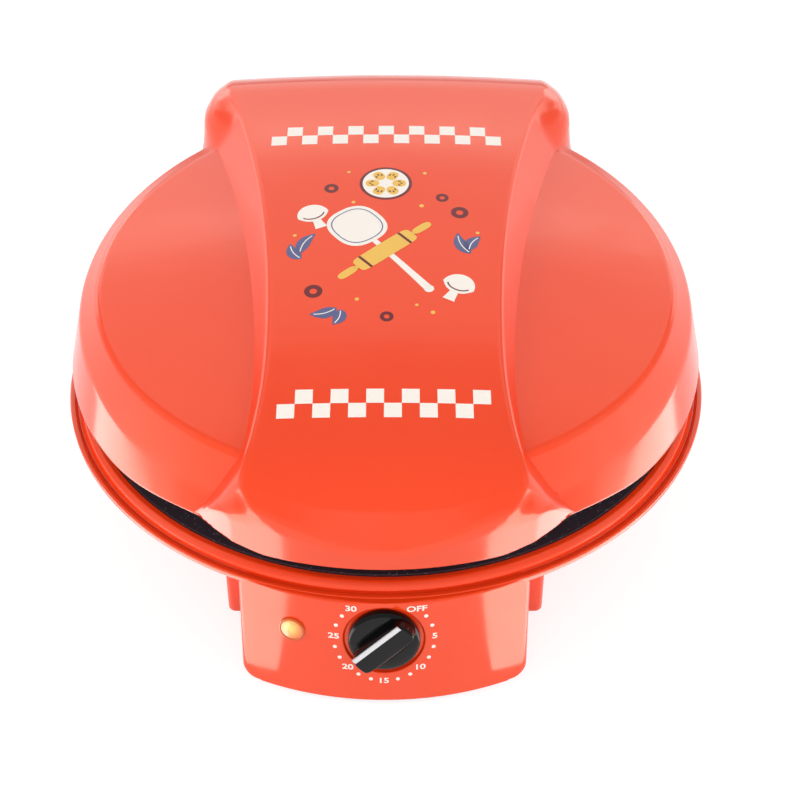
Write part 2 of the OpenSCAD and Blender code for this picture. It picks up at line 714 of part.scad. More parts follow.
// Lamp: lens through the panel, a collar behind it and the neon bulb inside
module indicator_lens() color("gold") at_lamp() difference() {
    union() {
        translate([0, 0, -9]) cylinder(r = lamp_r, h = 9.2, $fn = 48);
        rotate_extrude($fn = 64) polygon(concat(
            [[0, 0], [lamp_r + 1.7, 0], [lamp_r + 1.7, 0.7]],
            [for (a = [30:10:90]) [(lamp_r + 0.9) * cos(a) / cos(30), 0.7 + 2.2 * (sin(a) - 0.5)]]
        ));
    }
    translate([0, 0, -10]) cylinder(r = lamp_r - 1, h = 9.5, $fn = 48);
}
module lens_collar() color(dark) at_lamp() translate([0, 0, -6]) difference() {
    cylinder(r = lamp_r + 2.5, h = 2.9, $fn = 48);
    translate([0, 0, -1]) cylinder(r = lamp_r + 0.1, h = 6, $fn = 48);
}
module neon_lamp() color("orange") at_lamp() {
    translate([0, 0, -12]) cylinder(r = 2.5, h = 8.4, $fn = 32);
    translate([0, 0, -3.6]) sphere(r = 2.5, $fn = 32);
    for (s = [-1, 1]) translate([s * 1.2, 0, -16]) cylinder(r = 0.4, h = 5, $fn = 16);
}

module terminal_block() color("ivory")
    translate([gland_x - 30, rear_y - 40, bowl_z + wall]) {
        cube([32, 16, 10]);
        for (i = [0:2]) translate([2 + i * 10, 2, 9]) cube([8, 12, 5]);
    }
module cord_gland() color(dark) at_gland() difference() {
    union() {
        translate([0, 0, -4]) cylinder(r = cord_r + 3.3, h = 5, $fn = 48);
        cylinder(r = cord_r + 5, h = 2.5, $fn = 48);
        translate([0, 0, 2]) cylinder(r1 = cord_r + 2.9, r2 = cord_r + 1.6, h = gland_len - 6, $fn = 48);
    }
    translate([0, 0, -5]) cylinder(r = cord_r, h = gland_len + 2, $fn = 48);
}

// A wire along a few points: straight lengths with rounded joints
module wire(points, r = wire_r) {
    for (i = [0:len(points) - 2]) {
        d = points[i + 1] - points[i];
        l = norm(d);
        translate(points[i]) rotate([0, acos(d[2] / l), atan2(d[1], d[0])])
            cylinder(r = r, h = l, $fn = 16);
        if (i > 0) translate(points[i]) sphere(r = r + 0.1, $fn = 16);
    }
}
// Where the wires leave the terminal block
block_y = rear_y - 40.4;
block_z = bowl_z + wall + 6;
module supply_wires() color("white")
    wire([
        [gland_x - 14, block_y, block_z], [gland_x - 14, block_y - 24, loom_z + 3],
        [bowl_r / 2, bowl_r - 44, loom_z], [bowl_r / 2, 38 - bowl_r, loom_z],
        [timer_w * 0.75, -bowl_r - 4, loom_z], [timer_w * 0.75, -bowl_r - 22, loom_z]
    ]);
module crossing_wires() color("white")
    wire([
        [gland_x - 24, block_y, block_z], [gland_x - 24, block_y - 16, loom_z + 5],
        [20 - knuckle_x, hinge_y - 8, deck_z - 16], [18 - knuckle_x, hinge_y - 5, hinge_z - 10],
        [10 - knuckle_x, hinge_y, hinge_z], [-knuckle_x - knuckle_w, hinge_y, hinge_z]
    ]);
module lid_wires() color("white") {
    x0 = -knuckle_x - knuckle_w - 0.4;
    x1 = x0 - side_gap - arm_w - 3.6;
    wire([
        [x0, hinge_y, hinge_z], [x1, hinge_y, hinge_z], [x1, hinge_y - 20, lid_z + 6],
        [x1 + 16, hinge_y - 48, upper_shield_z + 4],
        [-element_r * 0.4, element_r + 4, upper_shield_z + 6],
        [-element_r * 0.11, element_r + 4, upper_shield_z + 6]
    ]);
}

// Hinge: knuckles screwed on the deck, arms in the hood and pins between them
module hinge_side(x0, w) {
    for (s = [0, 1]) mirror([s, 0, 0]) translate([x0, 0, 0]) rotate([90, 0, 90])
        linear_extrude(height = w) children();
}
module hinge_brackets() color(red) difference() {
    union() {
        hinge_side(knuckle_x, knuckle_w) {
            translate([hinge_y, hinge_z]) circle(r = knuckle_r, $fn = 64);
            polygon([
                [hinge_y - knuckle_r - 3, deck_z], [hinge_y + 2, deck_z],
                [hinge_y + 2, hinge_z], [hinge_y - knuckle_r, hinge_z]
            ]);
        }
        hinge_side(knuckle_x - 6, knuckle_w + 12)
            translate([hinge_y - knuckle_r - 7, deck_z]) square([knuckle_r + 9, 3]);
    }
    hinge_side(0, 2 * knuckle_x)
        translate([hinge_y, hinge_z]) circle(r = pin_r + run_gap, $fn = 48);
    at_bracket_screws() cylinder(r = screw_r + 0.2, h = 12, $fn = 24);
}
module at_bracket_screws() {
    for (s = [-1, 1]) for (d = [-3, knuckle_w + 3])
        translate([s * (knuckle_x + d), hinge_y - knuckle_r / 2, deck_z - 1]) children();
}
module bracket_screws() color(tin) at_bracket_screws() translate([0, 0, 4]) {
    cylinder(r = 2.7, h = screw_head_h, $fn = 32);
    translate([0, 0, -2.9]) cylinder(r = screw_r, h = 3, $fn = 24);
}
module hinge_arms() color(red) difference() {
    union() {
        hinge_side(knuckle_x + knuckle_w + side_gap, arm_w) {
            translate([hinge_y, hinge_z]) circle(r = knuckle_r, $fn = 64);
            polygon([
                [hinge_y - knuckle_r, hinge_z], [hinge_y + knuckle_r, hinge_z],
                [hinge_y + knuckle_r, lid_z + 4], [hood_back_y - 1.5, lid_z + 8],
                [hood_back_y - 1.5, lid_z + 15], [hinge_y + 5, lid_z + 26],
                [hinge_y - knuckle_r, lid_z + 30]
            ]);
        }
        hinge_side(knuckle_x + knuckle_w + side_gap, arm_reach)
            translate([hinge_y - knuckle_r, lid_z + 10]) square([knuckle_r + 5, 14]);
    }
    hinge_side(0, 2 * knuckle_x)
        translate([hinge_y, hinge_z]) circle(r = pin_r + 0.02, $fn = 48);
}
module hinge_pins() color(tin) difference() {
    union() {
        hinge_side(knuckle_x - 2.4, knuckle_w + side_gap + arm_w + 2.4)
            translate([hinge_y, hinge_z]) circle(r = pin_r, $fn = 48);
        hinge_side(knuckle_x - 2.4, 2) translate([hinge_y, hinge_z]) circle(r = pin_r + 2, $fn = 48);
    }
    translate([-2 * knuckle_x, hinge_y, hinge_z]) rotate([0, 90, 0])
        cylinder(r = pin_bore_r, h = 2 * knuckle_x, $fn = 48);
}

// Knob in the dial's frame, turned so that its pointer stands on 20 minutes
module timer_knob() color(dark) at_dial() difference() {
    union() {
        translate([0, 0, 0.5 - dial_recess]) rotate_extrude($fn = 96) polygon([
            [0, 0], [knob_r, 0], [knob_r, knob_skirt_h], [knob_r - 1.2, knob_skirt_h + 1],
            [knob_r - 5, knob_skirt_h + 1.7], [0, knob_skirt_h + 2.1]
        ]);
        rotate(-pointer_at) intersection() {
            rotate([90, 0, 0]) linear_extrude(height = 2 * knob_r, center = true) polygon([
                [-grip_back - 6.4, -1], [grip_reach + 2, -1],
                [grip_reach, knob_h], [-grip_back, knob_h]
            ]);
            translate([0, 0, -2])
                cylinder(r1 = knob_r - 0.4, r2 = knob_r - 1, h = knob_h + 2, $fn = 96);
        }
    }
    difference() {
        translate([0, 0, -dial_recess])
            cylinder(r = shaft_r + 0.03, h = dial_recess + shaft_top + 0.5, $fn = 48);
        translate([shaft_r - 0.77, -shaft_r - 1, 0]) cube([2, 2 * shaft_r + 2, 12]);
    }
    rotate(-pointer_at) translate([grip_reach - 3.55, -knob_r - 1, knob_h - 0.6])
        cube([2.9, 2 * knob_r + 2, 2]);
}
module knob_pointer() color(tin) at_dial() rotate(-pointer_at)
    translate([grip_reach - 3.5, 2.8 - knob_r, knob_h - 0.55])
        cube([2.8, 2 * knob_r - 5.6, 0.85]);
module timer_shaft() color(tin) at_dial() difference() {
    translate([0, 0, timer_back - timer_d + 2])
        cylinder(r = shaft_r, h = shaft_top - timer_back + timer_d - 2, $fn = 48);
    translate([shaft_r - 0.8, -shaft_r - 1, 0]) cube([2, 2 * shaft_r + 2, 12]);
}

base_shell();
lower_plate();
lower_element();
lower_clips();
lower_shield();
lower_screws();
lower_thermostat();
thermal_fuse();
bottom_cover();
cover_screws();
rubber_feet();
timer_case();
timer_bell();
timer_screws();
indicator_lens();
neon_lamp();
lens_collar();
terminal_block();
cord_gland();
supply_wires();
crossing_wires();
hinge_brackets();
bracket_screws();
timer_knob();
knob_pointer();
timer_shaft();
lid_shell();
upper_plate();
upper_element();
upper_clips();
upper_shield();
upper_screws();
upper_thermostat();
hinge_arms();
hinge_pins();
lid_wires();
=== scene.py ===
# %% [markdown]
# # A round pizza maker with a hinged lid
#
# The object is a countertop oven for one flat pizza: a round base with a cast pan, a round lid
# with a second pan over it, and a raised spine that runs from the hinge housing at the back
# to the lifting edge at the front. A curved panel below the rim carries a clockwork timer knob,
# its printed dial and an amber lamp.
#
# The solids come in as a fixed frame, in metres. This lesson dresses them: it works out smooth
# skins for the moulded shells, prints the decoration, and gives every surface a finish.

import bmesh
import bpy
import numpy as np
from mathutils import Euler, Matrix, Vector


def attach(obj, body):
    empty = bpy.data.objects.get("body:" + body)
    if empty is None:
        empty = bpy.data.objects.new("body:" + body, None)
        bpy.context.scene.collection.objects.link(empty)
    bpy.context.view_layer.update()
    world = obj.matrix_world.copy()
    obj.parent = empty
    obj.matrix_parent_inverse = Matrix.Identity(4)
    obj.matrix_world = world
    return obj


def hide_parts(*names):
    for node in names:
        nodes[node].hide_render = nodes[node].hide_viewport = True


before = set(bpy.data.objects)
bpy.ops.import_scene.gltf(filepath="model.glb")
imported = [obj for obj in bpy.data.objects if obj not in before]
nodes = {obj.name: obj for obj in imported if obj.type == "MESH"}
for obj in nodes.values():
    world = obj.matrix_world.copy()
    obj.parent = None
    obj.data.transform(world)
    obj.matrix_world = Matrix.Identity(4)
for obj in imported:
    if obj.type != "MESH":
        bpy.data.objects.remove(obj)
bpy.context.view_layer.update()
MM = 0.001
print("nodes in the frame:", len(nodes))

# %% [markdown]
# ## The camera
#
# A tabletop product is usually taken with a long lens, a little above it. The camera looks along
# +Y, tilted down by 40.6 degrees. It could be aimed with a Track To constraint, but a fixed place
# and angle keep the view exactly repeatable.

# %% Camera
FOCAL_LENGTH, SENSOR_WIDTH, TILT_DOWN = 78.75, 36.0, 40.6
camera_data = bpy.data.cameras.new("camera")
camera_data.lens = FOCAL_LENGTH
camera_data.sensor_width = SENSOR_WIDTH
camera_data.sensor_fit = "HORIZONTAL"
camera_data.clip_start = 0.05
camera = bpy.data.objects.new("camera", camera_data)
camera.location = (0.0076, -0.7414, 0.6737)
camera.rotation_euler = (np.radians(90.0 - TILT_DOWN), 0.0, 0.0)
bpy.context.scene.collection.objects.link(camera)
bpy.context.scene.camera = camera
bpy.context.scene.view_settings.view_transform = "Standard"
print("camera height in mm:", round(camera.location.z / MM, 1))

# %% [markdown]
# ## Surfaces from arrays
#
# Every new skin is a grid of points: rows along one parameter, columns along the other. The grid
# is worked out as a whole array in millimetres, and one function turns it into quads. Modelling by
# hand with extrusions could give the same form, but a grid keeps curves exact and easy to change.


# %% Grid helpers
def unit(v):
    """Each vector divided by its own length."""
    return v / np.maximum(np.linalg.norm(v, axis=-1, keepdims=True), 1e-9)


def points_of(x, y, z):
    """Coordinates of matching shapes, stacked into one array of points."""
    return np.stack(np.broadcast_arrays(x, y, z), -1)


def quads_of(rows, cols, wrap):
    """Corner numbers of the quads between neighbouring rows and columns of a grid."""
    i = np.arange(rows - 1)[:, None]
    j = np.arange(cols if wrap else cols - 1)[None, :]
    k = (j + 1) % cols
    quads = np.stack([i * cols + j, i * cols + k, (i + 1) * cols + k, (i + 1) * cols + j], -1)
    return quads.reshape(-1, 4)


def piece_of(name, points, faces, material):
    """One object from points in mm and the corner numbers of its faces."""
    mesh = bpy.data.meshes.new(name)
    mesh.from_pydata((points * MM).tolist(), [], faces)
    mesh.materials.append(material)
    piece = bpy.data.objects.new(name, mesh)
    bpy.context.scene.collection.objects.link(piece)
    return piece


def surface(name, points, material, wrap=False, flip=False):
    """A smooth quad mesh from a grid of points in mm. wrap joins the last column to the first."""
    quads = quads_of(points.shape[0], points.shape[1], wrap)
    if flip:
        quads = quads[:, ::-1]
    piece = piece_of(name, points.reshape(-1, 3), quads.tolist(), material)
    work = bmesh.new()
    work.from_mesh(piece.data)
    bmesh.ops.remove_doubles(work, verts=work.verts, dist=2e-6)
    bmesh.ops.dissolve_degenerate(work, edges=work.edges, dist=1e-7)
    work.to_mesh(piece.data)
    work.free()
    piece.data.polygons.foreach_set("use_smooth", np.ones(len(piece.data.polygons), bool))
    return piece


print("quads between 3 rows of 4 points:", len(quads_of(3, 4, False)))


# %% Walls and rounded profiles
def thicken(piece, thickness):
    """A wall of the given thickness in mm, built inwards from the skin."""
    wall = piece.modifiers.new("wall", "SOLIDIFY")
    wall.thickness = thickness * MM
    wall.offset = -1.0
    wall.use_even_offset = False


def rounded(corners, cuts, bend=6, run=5):
    """A path through the corners, each inner corner replaced by a parabola that touches both sides
    at the given distance from it. Corners may be whole arrays of points, so that one call
    rounds a profile all along its way. The straight runs get a few points near their ends."""
    corners = [np.asarray(c, float) for c in np.broadcast_arrays(*corners)]
    starts, ends, arcs = [], [], []
    for i, b in enumerate(corners):
        if i in (0, len(corners) - 1):
            starts.append(b)
            ends.append(b)
            arcs.append([b])
            continue
        back, ahead = corners[i - 1] - b, corners[i + 1] - b
        near = np.minimum(np.linalg.norm(back, axis=-1), np.linalg.norm(ahead, axis=-1))
        cut = np.minimum(cuts[i], 0.48 * near)[..., None]
        p, q = b + unit(back) * cut, b + unit(ahead) * cut
        t = np.linspace(0, 1, bend)
        arcs.append([(1 - s) ** 2 * p + 2 * s * (1 - s) * b + s * s * q for s in t])
        starts.append(p)
        ends.append(q)
    path = list(arcs[0])
    spacing = 0.5 - 0.5 * np.cos(np.linspace(0, np.pi, run + 2))[1:-1]
    for i in range(1, len(corners)):
        a, b = ends[i - 1], starts[i]
        path += [a + (b - a) * s for s in spacing]
        path += arcs[i]
    return np.stack(path, axis=-2)


def rounded_rows(corners, cuts, bend=6, run=5):
    """The same path as the rows of a grid, for corners that are whole rings of points."""
    return np.moveaxis(rounded(corners, cuts, bend, run), 1, 0)


def turned(name, outline, cuts, material, steps=288, bend=5):
    """A closed profile of radius and height pairs in mm, its corners rounded, turned round Z."""
    pairs = [np.array(p, float) for p in outline]
    seam = (pairs[0] + pairs[-1]) / 2
    path = rounded([seam] + pairs + [seam], [0] + list(cuts) + [0], bend, run=2)
    angle = np.linspace(0, 2 * np.pi, steps, endpoint=False)
    r, z = path[:, :1], path[:, 1:]
    grid = points_of(r * np.cos(angle), r * np.sin(angle), z)
    return surface(name, grid, material, wrap=True, flip=True)


corner_path = rounded([(0, 0), (10, 0), (10, 10)], [0, 3, 0])
print("points on a path with one rounded corner:", len(corner_path))

# %% [markdown]
# ## Finishes: the glossy shell plastic
#
# The shells are injection moulded and polished, in one red-orange. A single colour would look like
# paint on a screen, so the node tree adds what the real plastic shows: a hardly visible unevenness
# of colour and gloss, and a very shallow waviness that softens reflections. Noise on Object
# coordinates gives all of it, so nothing slides when a part moves.


# %% Node helpers
def set_inputs(node, values):
    """Sets the plain values of some of a node's inputs."""
    for socket, value in values.items():
        node.inputs[socket].default_value = value


def add_node(tree, kind, values, links):
    """A new node with plain values in some inputs and links from other nodes into others."""
    node = tree.nodes.new("ShaderNode" + kind)
    set_inputs(node, values)
    for socket, source in links.items():
        tree.links.new(source, node.inputs[socket])
    return node


def new_material(name):
    """An empty node material with a Principled shader, its output and Object coordinates."""
    material = bpy.data.materials.new(name)
    material.use_nodes = True
    tree = material.node_tree
    shader = tree.nodes["Principled BSDF"]
    place = tree.nodes.new("ShaderNodeTexCoord").outputs["Object"]
    return material, tree, shader, place


def noise(tree, place, scale, detail=2.0, rough=0.5):
    """Cloudy values from 0 to 1; scale is in features per metre."""
    values = {"Scale": scale, "Detail": detail, "Roughness": rough}
    return add_node(tree, "TexNoise", values, {"Vector": place}).outputs["Fac"]


def between(tree, value, low, high, start=0.0, stop=1.0):
    """Stretches a value that runs from start to stop so that it runs from low to high."""
    ends = {"From Min": start, "From Max": stop, "To Min": low, "To Max": high}
    return add_node(tree, "MapRange", ends, {"Value": value}).outputs["Result"]


def combine(tree, first, second, kind="ADD"):
    """Adds, multiplies or compares two values and holds the result between 0 and 1."""
    node = add_node(tree, "Math", {}, {0: first, 1: second})
    node.operation = kind
    node.use_clamp = True
    return node.outputs[0]


def blend_colour(tree, amount, first, second):
    """Goes from the first colour to the second as amount goes from 0 to 1."""
    node = tree.nodes.new("ShaderNodeMix")
    node.data_type = "RGBA"
    tree.links.new(amount, node.inputs["Factor"])
    for socket, colour in zip((6, 7), (first, second)):
        if isinstance(colour, tuple):
            node.inputs[socket].default_value = colour
        else:
            tree.links.new(colour, node.inputs[socket])
    return node.outputs[2]


def bump(tree, shader, height, depth, strength=1.0):
    """Raises the surface by depth in mm where height is 1."""
    values = {"Strength": strength, "Distance": depth * MM}
    raised = add_node(tree, "Bump", values, {"Height": height}).outputs["Normal"]
    tree.links.new(raised, shader.inputs["Normal"])


def feed(tree, shader, colour, gloss):
    """Gives the shader a colour and a roughness that both come from other nodes."""
    tree.links.new(colour, shader.inputs["Base Color"])
    tree.links.new(gloss, shader.inputs["Roughness"])


def rgb(r, g, b):
    """Screen values from 0 to 255 turned into the linear colour that a shader takes."""
    c = np.array([r, g, b], float) / 255
    linear = np.where(c <= 0.04045, c / 12.92, ((c + 0.055) / 1.055) ** 2.4)
    return (*[float(v) for v in linear], 1.0)


print("linear value of mid grey:", round(rgb(128, 128, 128)[0], 3))


# %% Shell plastic
def shell_plastic(name, colour, deep, gloss=0.16):
    """Polished moulded plastic: slightly varied colour and gloss, and a very shallow waviness."""
    material, tree, shader, place = new_material(name)
    cloud = noise(tree, place, 14.0, 3.0)
    patches = between(tree, noise(tree, place, 38.0, 4.0), gloss * 0.75, gloss * 1.3, 0.3, 0.7)
    feed(tree, shader, blend_colour(tree, cloud, deep, colour), patches)
    set_inputs(shader, {"IOR": 1.66, "Specular Tint": (1.0, 0.95, 0.74, 1.0),
                        "Coat Weight": 0.1, "Coat Roughness": 0.04})
    bump(tree, shader, noise(tree, place, 95.0, 2.0), 0.035, 0.35)
    return material


RED = shell_plastic("shell_red", rgb(250, 67, 22), rgb(247, 61, 18))
print("finish:", RED.name)

# %% [markdown]
# ## The lid's round part
#
# The real lid is one moulding. Its round part is a low dome: a nearly upright band, a shoulder that
# rises towards the back, a crease, and a flat crown. Each of these is a ring, and the shoulder and
# crease rings are tilted, so the bevel between them is widest at the front and dies away towards
# the back. A lathe modifier can't tilt its rings, so the rings are worked out as arrays and the
# profile that joins them is rounded all round at once.

# %% Lid dome
WALL = 2.4
LID_R, LID_Z = 168.0, 82.0
SHOULDER_R, SHOULDER_Z, SHOULDER_TILT = 161.3, 112.5, np.radians(6.6)
CROWN_R, CROWN_Z, CROWN_TILT, CROWN_RISE = 150.5, 125.0, np.radians(2.1), 8.0
NOTCH_LIFT, NOTCH_START, NOTCH_FULL, NOTCH_FADE, NOTCH_END = 3.6, 18.0, 26.0, 32.0, 54.0


def tilted_ring(radius, height, tilt, angle):
    """A circle leaned back about X: y shrinks by the cosine of the tilt, z gains its sine."""
    c, s = np.cos(angle), np.sin(angle)
    return points_of(radius * c, radius * s * np.cos(tilt), height + radius * s * np.sin(tilt))


def crown_ring(share, angle):
    """A ring of the flat crown, at a share of the crown's radius."""
    height = CROWN_Z + CROWN_RISE * (1 - share**2)
    return tilted_ring(share * CROWN_R, height, CROWN_TILT, angle)


def ease(t):
    """Goes from 0 to 1 with a level start and end."""
    t = np.clip(t, 0, 1)
    return t * t * (3 - 2 * t)


def finger_notch(x, y):
    """How far the lower edge lifts beside the tongue, for the fingers that open the lid. It rises
    and dies out with the angle away from the front, in degrees."""
    away = np.degrees(np.arctan2(np.abs(x), -y))
    rise = ease((away - NOTCH_START) / (NOTCH_FULL - NOTCH_START))
    return NOTCH_LIFT * rise * (1 - ease((away - NOTCH_FADE) / (NOTCH_END - NOTCH_FADE)))


turn = np.linspace(0, 2 * np.pi, 360, endpoint=False)
lower_edge = tilted_ring(LID_R, LID_Z, 0.0, turn)
shoulder = tilted_ring(SHOULDER_R, SHOULDER_Z, SHOULDER_TILT, turn)
lift = finger_notch(lower_edge[:, 0], lower_edge[:, 1]) / (shoulder[:, 2] - LID_Z)
dome_rings = [
    lower_edge + (shoulder - lower_edge) * lift[:, None],
    shoulder,
    crown_ring(1.0, turn),
    crown_ring(0.93, turn),
]
band = rounded_rows(dome_rings, [0, 2.2, 2.6, 0], bend=7, run=6)
crown = crown_ring(np.linspace(0.91, 0.0, 26)[:, None], turn)
lid_dome = surface("lid_dome", np.concatenate([band, crown], 0), RED, wrap=True)
thicken(lid_dome, WALL)
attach(lid_dome, "lid")
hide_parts("lid_shell")
print("dome quads:", len(lid_dome.data.polygons))

# %% [markdown]
# ## The spine and the hood
#
# The spine is a broad raised band. Seen from the side it is a long shallow arc that turns down in a
# round nose at the front and in a tighter curve over the hinge at the back. Seen from above its
# edges are two arcs that meet at a narrow waist. Across, it is slightly crowned, with soft edges
# and sloping sides. A loft does this well: one cross-section, carried along, with every
# measure a function of the distance y from front to back.

# %% Spine measures
SPINE_TOP, SPINE_TOP_Y, BACK_R = 155.0, 140.0, 53.0
NOSE_Y, NOSE_R, APRON_R = 132.0, 55.0, 173.0
LONG_RUN, LONG_DROP = SPINE_TOP_Y + NOSE_Y, 27.5
LONG_R = (LONG_RUN**2 + LONG_DROP**2) / (2 * LONG_DROP)
WAIST_W, WAIST_Y, HOOD_W, HOOD_CORNER = 57.8, 75.0, 107.5, 14.0
TOP_W, REAR_ARC, FRONT_ARC = 92.0, 746.0, 312.0
TONGUE_Y, TONGUE_R = 144.0, 18.0
DRAFT, CROSS_R = 0.65, 1250.0
long_start = np.arcsin(LONG_RUN / LONG_R)
nose_top = SPINE_TOP - LONG_R * (1 - np.cos(long_start))


def spine_height(y):
    """Height of the spine's middle line: back arc, long arc and nose arc, each meeting the next
    with the same slope."""
    back = SPINE_TOP - BACK_R + np.sqrt(np.maximum(BACK_R**2 - (y - SPINE_TOP_Y) ** 2, 0))
    long = SPINE_TOP - LONG_R + np.sqrt(LONG_R**2 - (y - SPINE_TOP_Y) ** 2)
    reach = np.minimum(np.abs(y + NOSE_Y - NOSE_R * np.sin(long_start)), NOSE_R - 0.01)
    nose = nose_top - NOSE_R * np.cos(long_start) + np.sqrt(NOSE_R**2 - reach**2)
    return np.where(y > SPINE_TOP_Y, back, np.where(y > -NOSE_Y, long, nose))


def hood_corner(y):
    """How far the hood's plan draws in at its two rounded back corners."""
    d = np.clip(y - (SPINE_TOP_Y + BACK_R - HOOD_CORNER), 0, HOOD_CORNER)
    return HOOD_CORNER - np.sqrt(HOOD_CORNER**2 - d**2)


def tongue_corner(y):
    """How far the top draws in where the tongue's side turns round into its front."""
    d = np.clip(-TONGUE_Y - y, 0, TONGUE_R - 1)
    return TONGUE_R - np.sqrt(TONGUE_R**2 - d**2)


def spine_half_width(y):
    """Half width of the top: two arcs that meet at the waist, less the hood's corner."""
    arc = np.where(y > -WAIST_Y, REAR_ARC, FRONT_ARC)
    w = WAIST_W + arc - np.sqrt(arc**2 - (y + WAIST_Y) ** 2)
    return np.minimum(w, TOP_W) - hood_corner(y)


print("spine half width at its waist:", float(spine_half_width(np.array(-WAIST_Y))))


# %% Spine cross-section
def half_section(y):
    """The right half of the cross-section at y: crowned top, rounded edge, side, hood ear, foot.
    t goes from 0 along the spine to 1 at the hood, whose sides are steep and reach HOOD_W."""
    w, top = spine_half_width(y), spine_height(y)
    edge = top - w * w / (2 * CROSS_R)
    t = ease((y - SPINE_TOP_Y + 28) / 34)
    side = HOOD_W - hood_corner(y)
    drop = (1 - t) * np.minimum(10, 0.4 * (edge - LID_Z)) + 7 * t
    fall = (1 - t) * np.minimum(20, 0.75 * (edge - LID_Z)) + 17 * t
    foot = w + DRAFT * (edge - LID_Z)
    w = w - tongue_corner(y)
    slope = (foot - w) / (edge - LID_Z)

    def at(x, z):
        return points_of(x, y, z)

    q = np.linspace(0, 0.88, 9)
    crowned = [at(w * s, top - (w * s) ** 2 / (2 * CROSS_R)) for s in q]
    corners = [
        crowned[-1],
        at(w, edge),
        at((1 - t) * (w + slope * drop) + t * (side - 6.5), edge - drop),
        at((1 - t) * (w + slope * fall) + t * (side - 0.5), edge - fall),
        at((1 - t) * foot + t * side, np.full_like(y, LID_Z)),
    ]
    edged = rounded(corners, [0, 2.6, 4.0, 4.0, 0], bend=7, run=3)
    return np.concatenate([np.stack(crowned[:-1], -2), edged], -2)


print("points across half a section:", half_section(np.array([0.0])).shape[-2])


# %% Spine stations
BOW_Y = 100.0


def bowed_section(y):
    """The section at y, bent so that its front end lies on the round apron: each point moves back
    by what the apron's circle draws back at its own x. The bend fades out at BOW_Y."""
    share = np.clip((-BOW_Y - y) / (APRON_R - BOW_Y), 0, 1)[:, None] ** 1.5
    count = half_section(y[:1]).shape[-2]
    pick = np.arange(count)
    place = np.repeat(y[:, None], count, 1)
    for _ in range(9):
        points = half_section(place)[:, pick, pick, :]
        x = np.minimum(np.abs(points[..., 0]), APRON_R - 1)
        place = y[:, None] + (APRON_R - np.sqrt(APRON_R**2 - x**2)) * share
    points[..., 1] = place
    return points


stations = np.concatenate(
    [
        np.linspace(-APRON_R, -NOSE_Y, 30)[:-1],
        np.linspace(-NOSE_Y, 108, 44)[:-1],
        np.linspace(108, SPINE_TOP_Y, 14)[:-1],
        SPINE_TOP_Y + BACK_R * np.sin(np.radians([0, 6, 12, 18, 24, 30, 36, 42, 47, 52, 56, 60])),
        SPINE_TOP_Y + BACK_R * np.sin(np.radians([64, 68, 71, 74, 77, 80, 82.5, 85, 87, 88.7])),
    ]
)
right = bowed_section(stations)
print("spine stations:", len(stations))


# %% Spine ends
def end_rows(first, last, cut):
    """Rows that round the last station off into an upright wall and run down to the lid's edge."""
    below = last.copy()
    below[..., 2] = LID_Z
    return rounded_rows([first, last, below], [0, cut, 0], bend=9, run=6)[1:]


front_cut = 3.4 + 4.6 * np.clip(right[0][:, 0] / 66.0, 0, 1) ** 2
front = end_rows(right[7], right[0], front_cut)[::-1]
back = end_rows(right[-3], right[-1], 2.4)
half = np.concatenate([front, right[7:-2], back], 0)
print("rows from front to back:", len(half))

# %% [markdown]
# ## Where the spine meets the dome
#
# The spine's sides pass into the dome. The dome's height is known at every place, so each side
# stops a little under it, and what lies deeper is dropped, which leaves the inside free for the
# plate. The lower edge lifts for the fingers as the dome's does. The tongue's two front corners
# draw in behind the dome's band, so that no step is left beside the notch.


# %% Spine surface
def dome_height(x, y):
    """Height of the dome over a place: crown, bevel and band, each straight between its rings."""
    rho = np.maximum(np.hypot(x, y), 1e-6)
    lean = y / rho
    brow = CROWN_Z + CROWN_R * lean * np.sin(CROWN_TILT)
    brim = SHOULDER_Z + SHOULDER_R * lean * np.sin(SHOULDER_TILT)
    crown = CROWN_Z + CROWN_RISE * (1 - (rho / CROWN_R) ** 2) + rho * lean * np.sin(CROWN_TILT)
    bevel = brow + (brim - brow) * (rho - CROWN_R) / (SHOULDER_R - CROWN_R)
    upright = brim + (LID_Z - brim) * (rho - SHOULDER_R) / (LID_R - SHOULDER_R)
    inside = np.where(rho < CROWN_R, crown, np.where(rho < SHOULDER_R, bevel, upright))
    return np.where(rho < LID_R, inside, LID_Z)


LIFT_RUN, SIDE_DEPTH, HIDDEN_DEPTH = 20.0, 3.5, 3.0
CORNER_START, CORNER_RUN = 24.5, 8.0
lifted = np.clip(1 - (half[..., 2] - LID_Z) / LIFT_RUN, 0, 1)
half[..., 2] += lifted * finger_notch(half[..., 0], half[..., 1])
half[..., 2] = np.maximum(half[..., 2], dome_height(half[..., 0], half[..., 1]) - SIDE_DEPTH)
away = np.degrees(np.arctan2(half[..., 0], -half[..., 1]))
from_axis = np.hypot(half[..., 0], half[..., 1])
turned_in = np.clip((away - CORNER_START) / CORNER_RUN, 0, 1)
corner_out = APRON_R - (APRON_R - LID_R + 2) * turned_in
draw_in = np.where((away < 60) & (from_axis > corner_out), corner_out / from_axis, 1.0)
half[..., :2] *= draw_in[..., None]
mirror = half[:, :0:-1] * np.array([-1.0, 1.0, 1.0])
spine_points = np.concatenate([mirror, half], 1)
lid_spine = surface("lid_spine", spine_points, RED)
skin = bmesh.new()
skin.from_mesh(lid_spine.data)
bmesh.ops.remove_doubles(skin, verts=skin.verts, dist=0.3 * MM)
skin_xyz = np.array([v.co for v in skin.verts]) / MM
under_dome = skin_xyz[:, 2] < dome_height(skin_xyz[:, 0], skin_xyz[:, 1]) - HIDDEN_DEPTH
hidden = [f for f in skin.faces if under_dome[[v.index for v in f.verts]].all()]
bmesh.ops.delete(skin, geom=hidden, context="FACES")
skin.to_mesh(lid_spine.data)
skin.free()
thicken(lid_spine, WALL)
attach(lid_spine, "lid")
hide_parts("lid_shell")
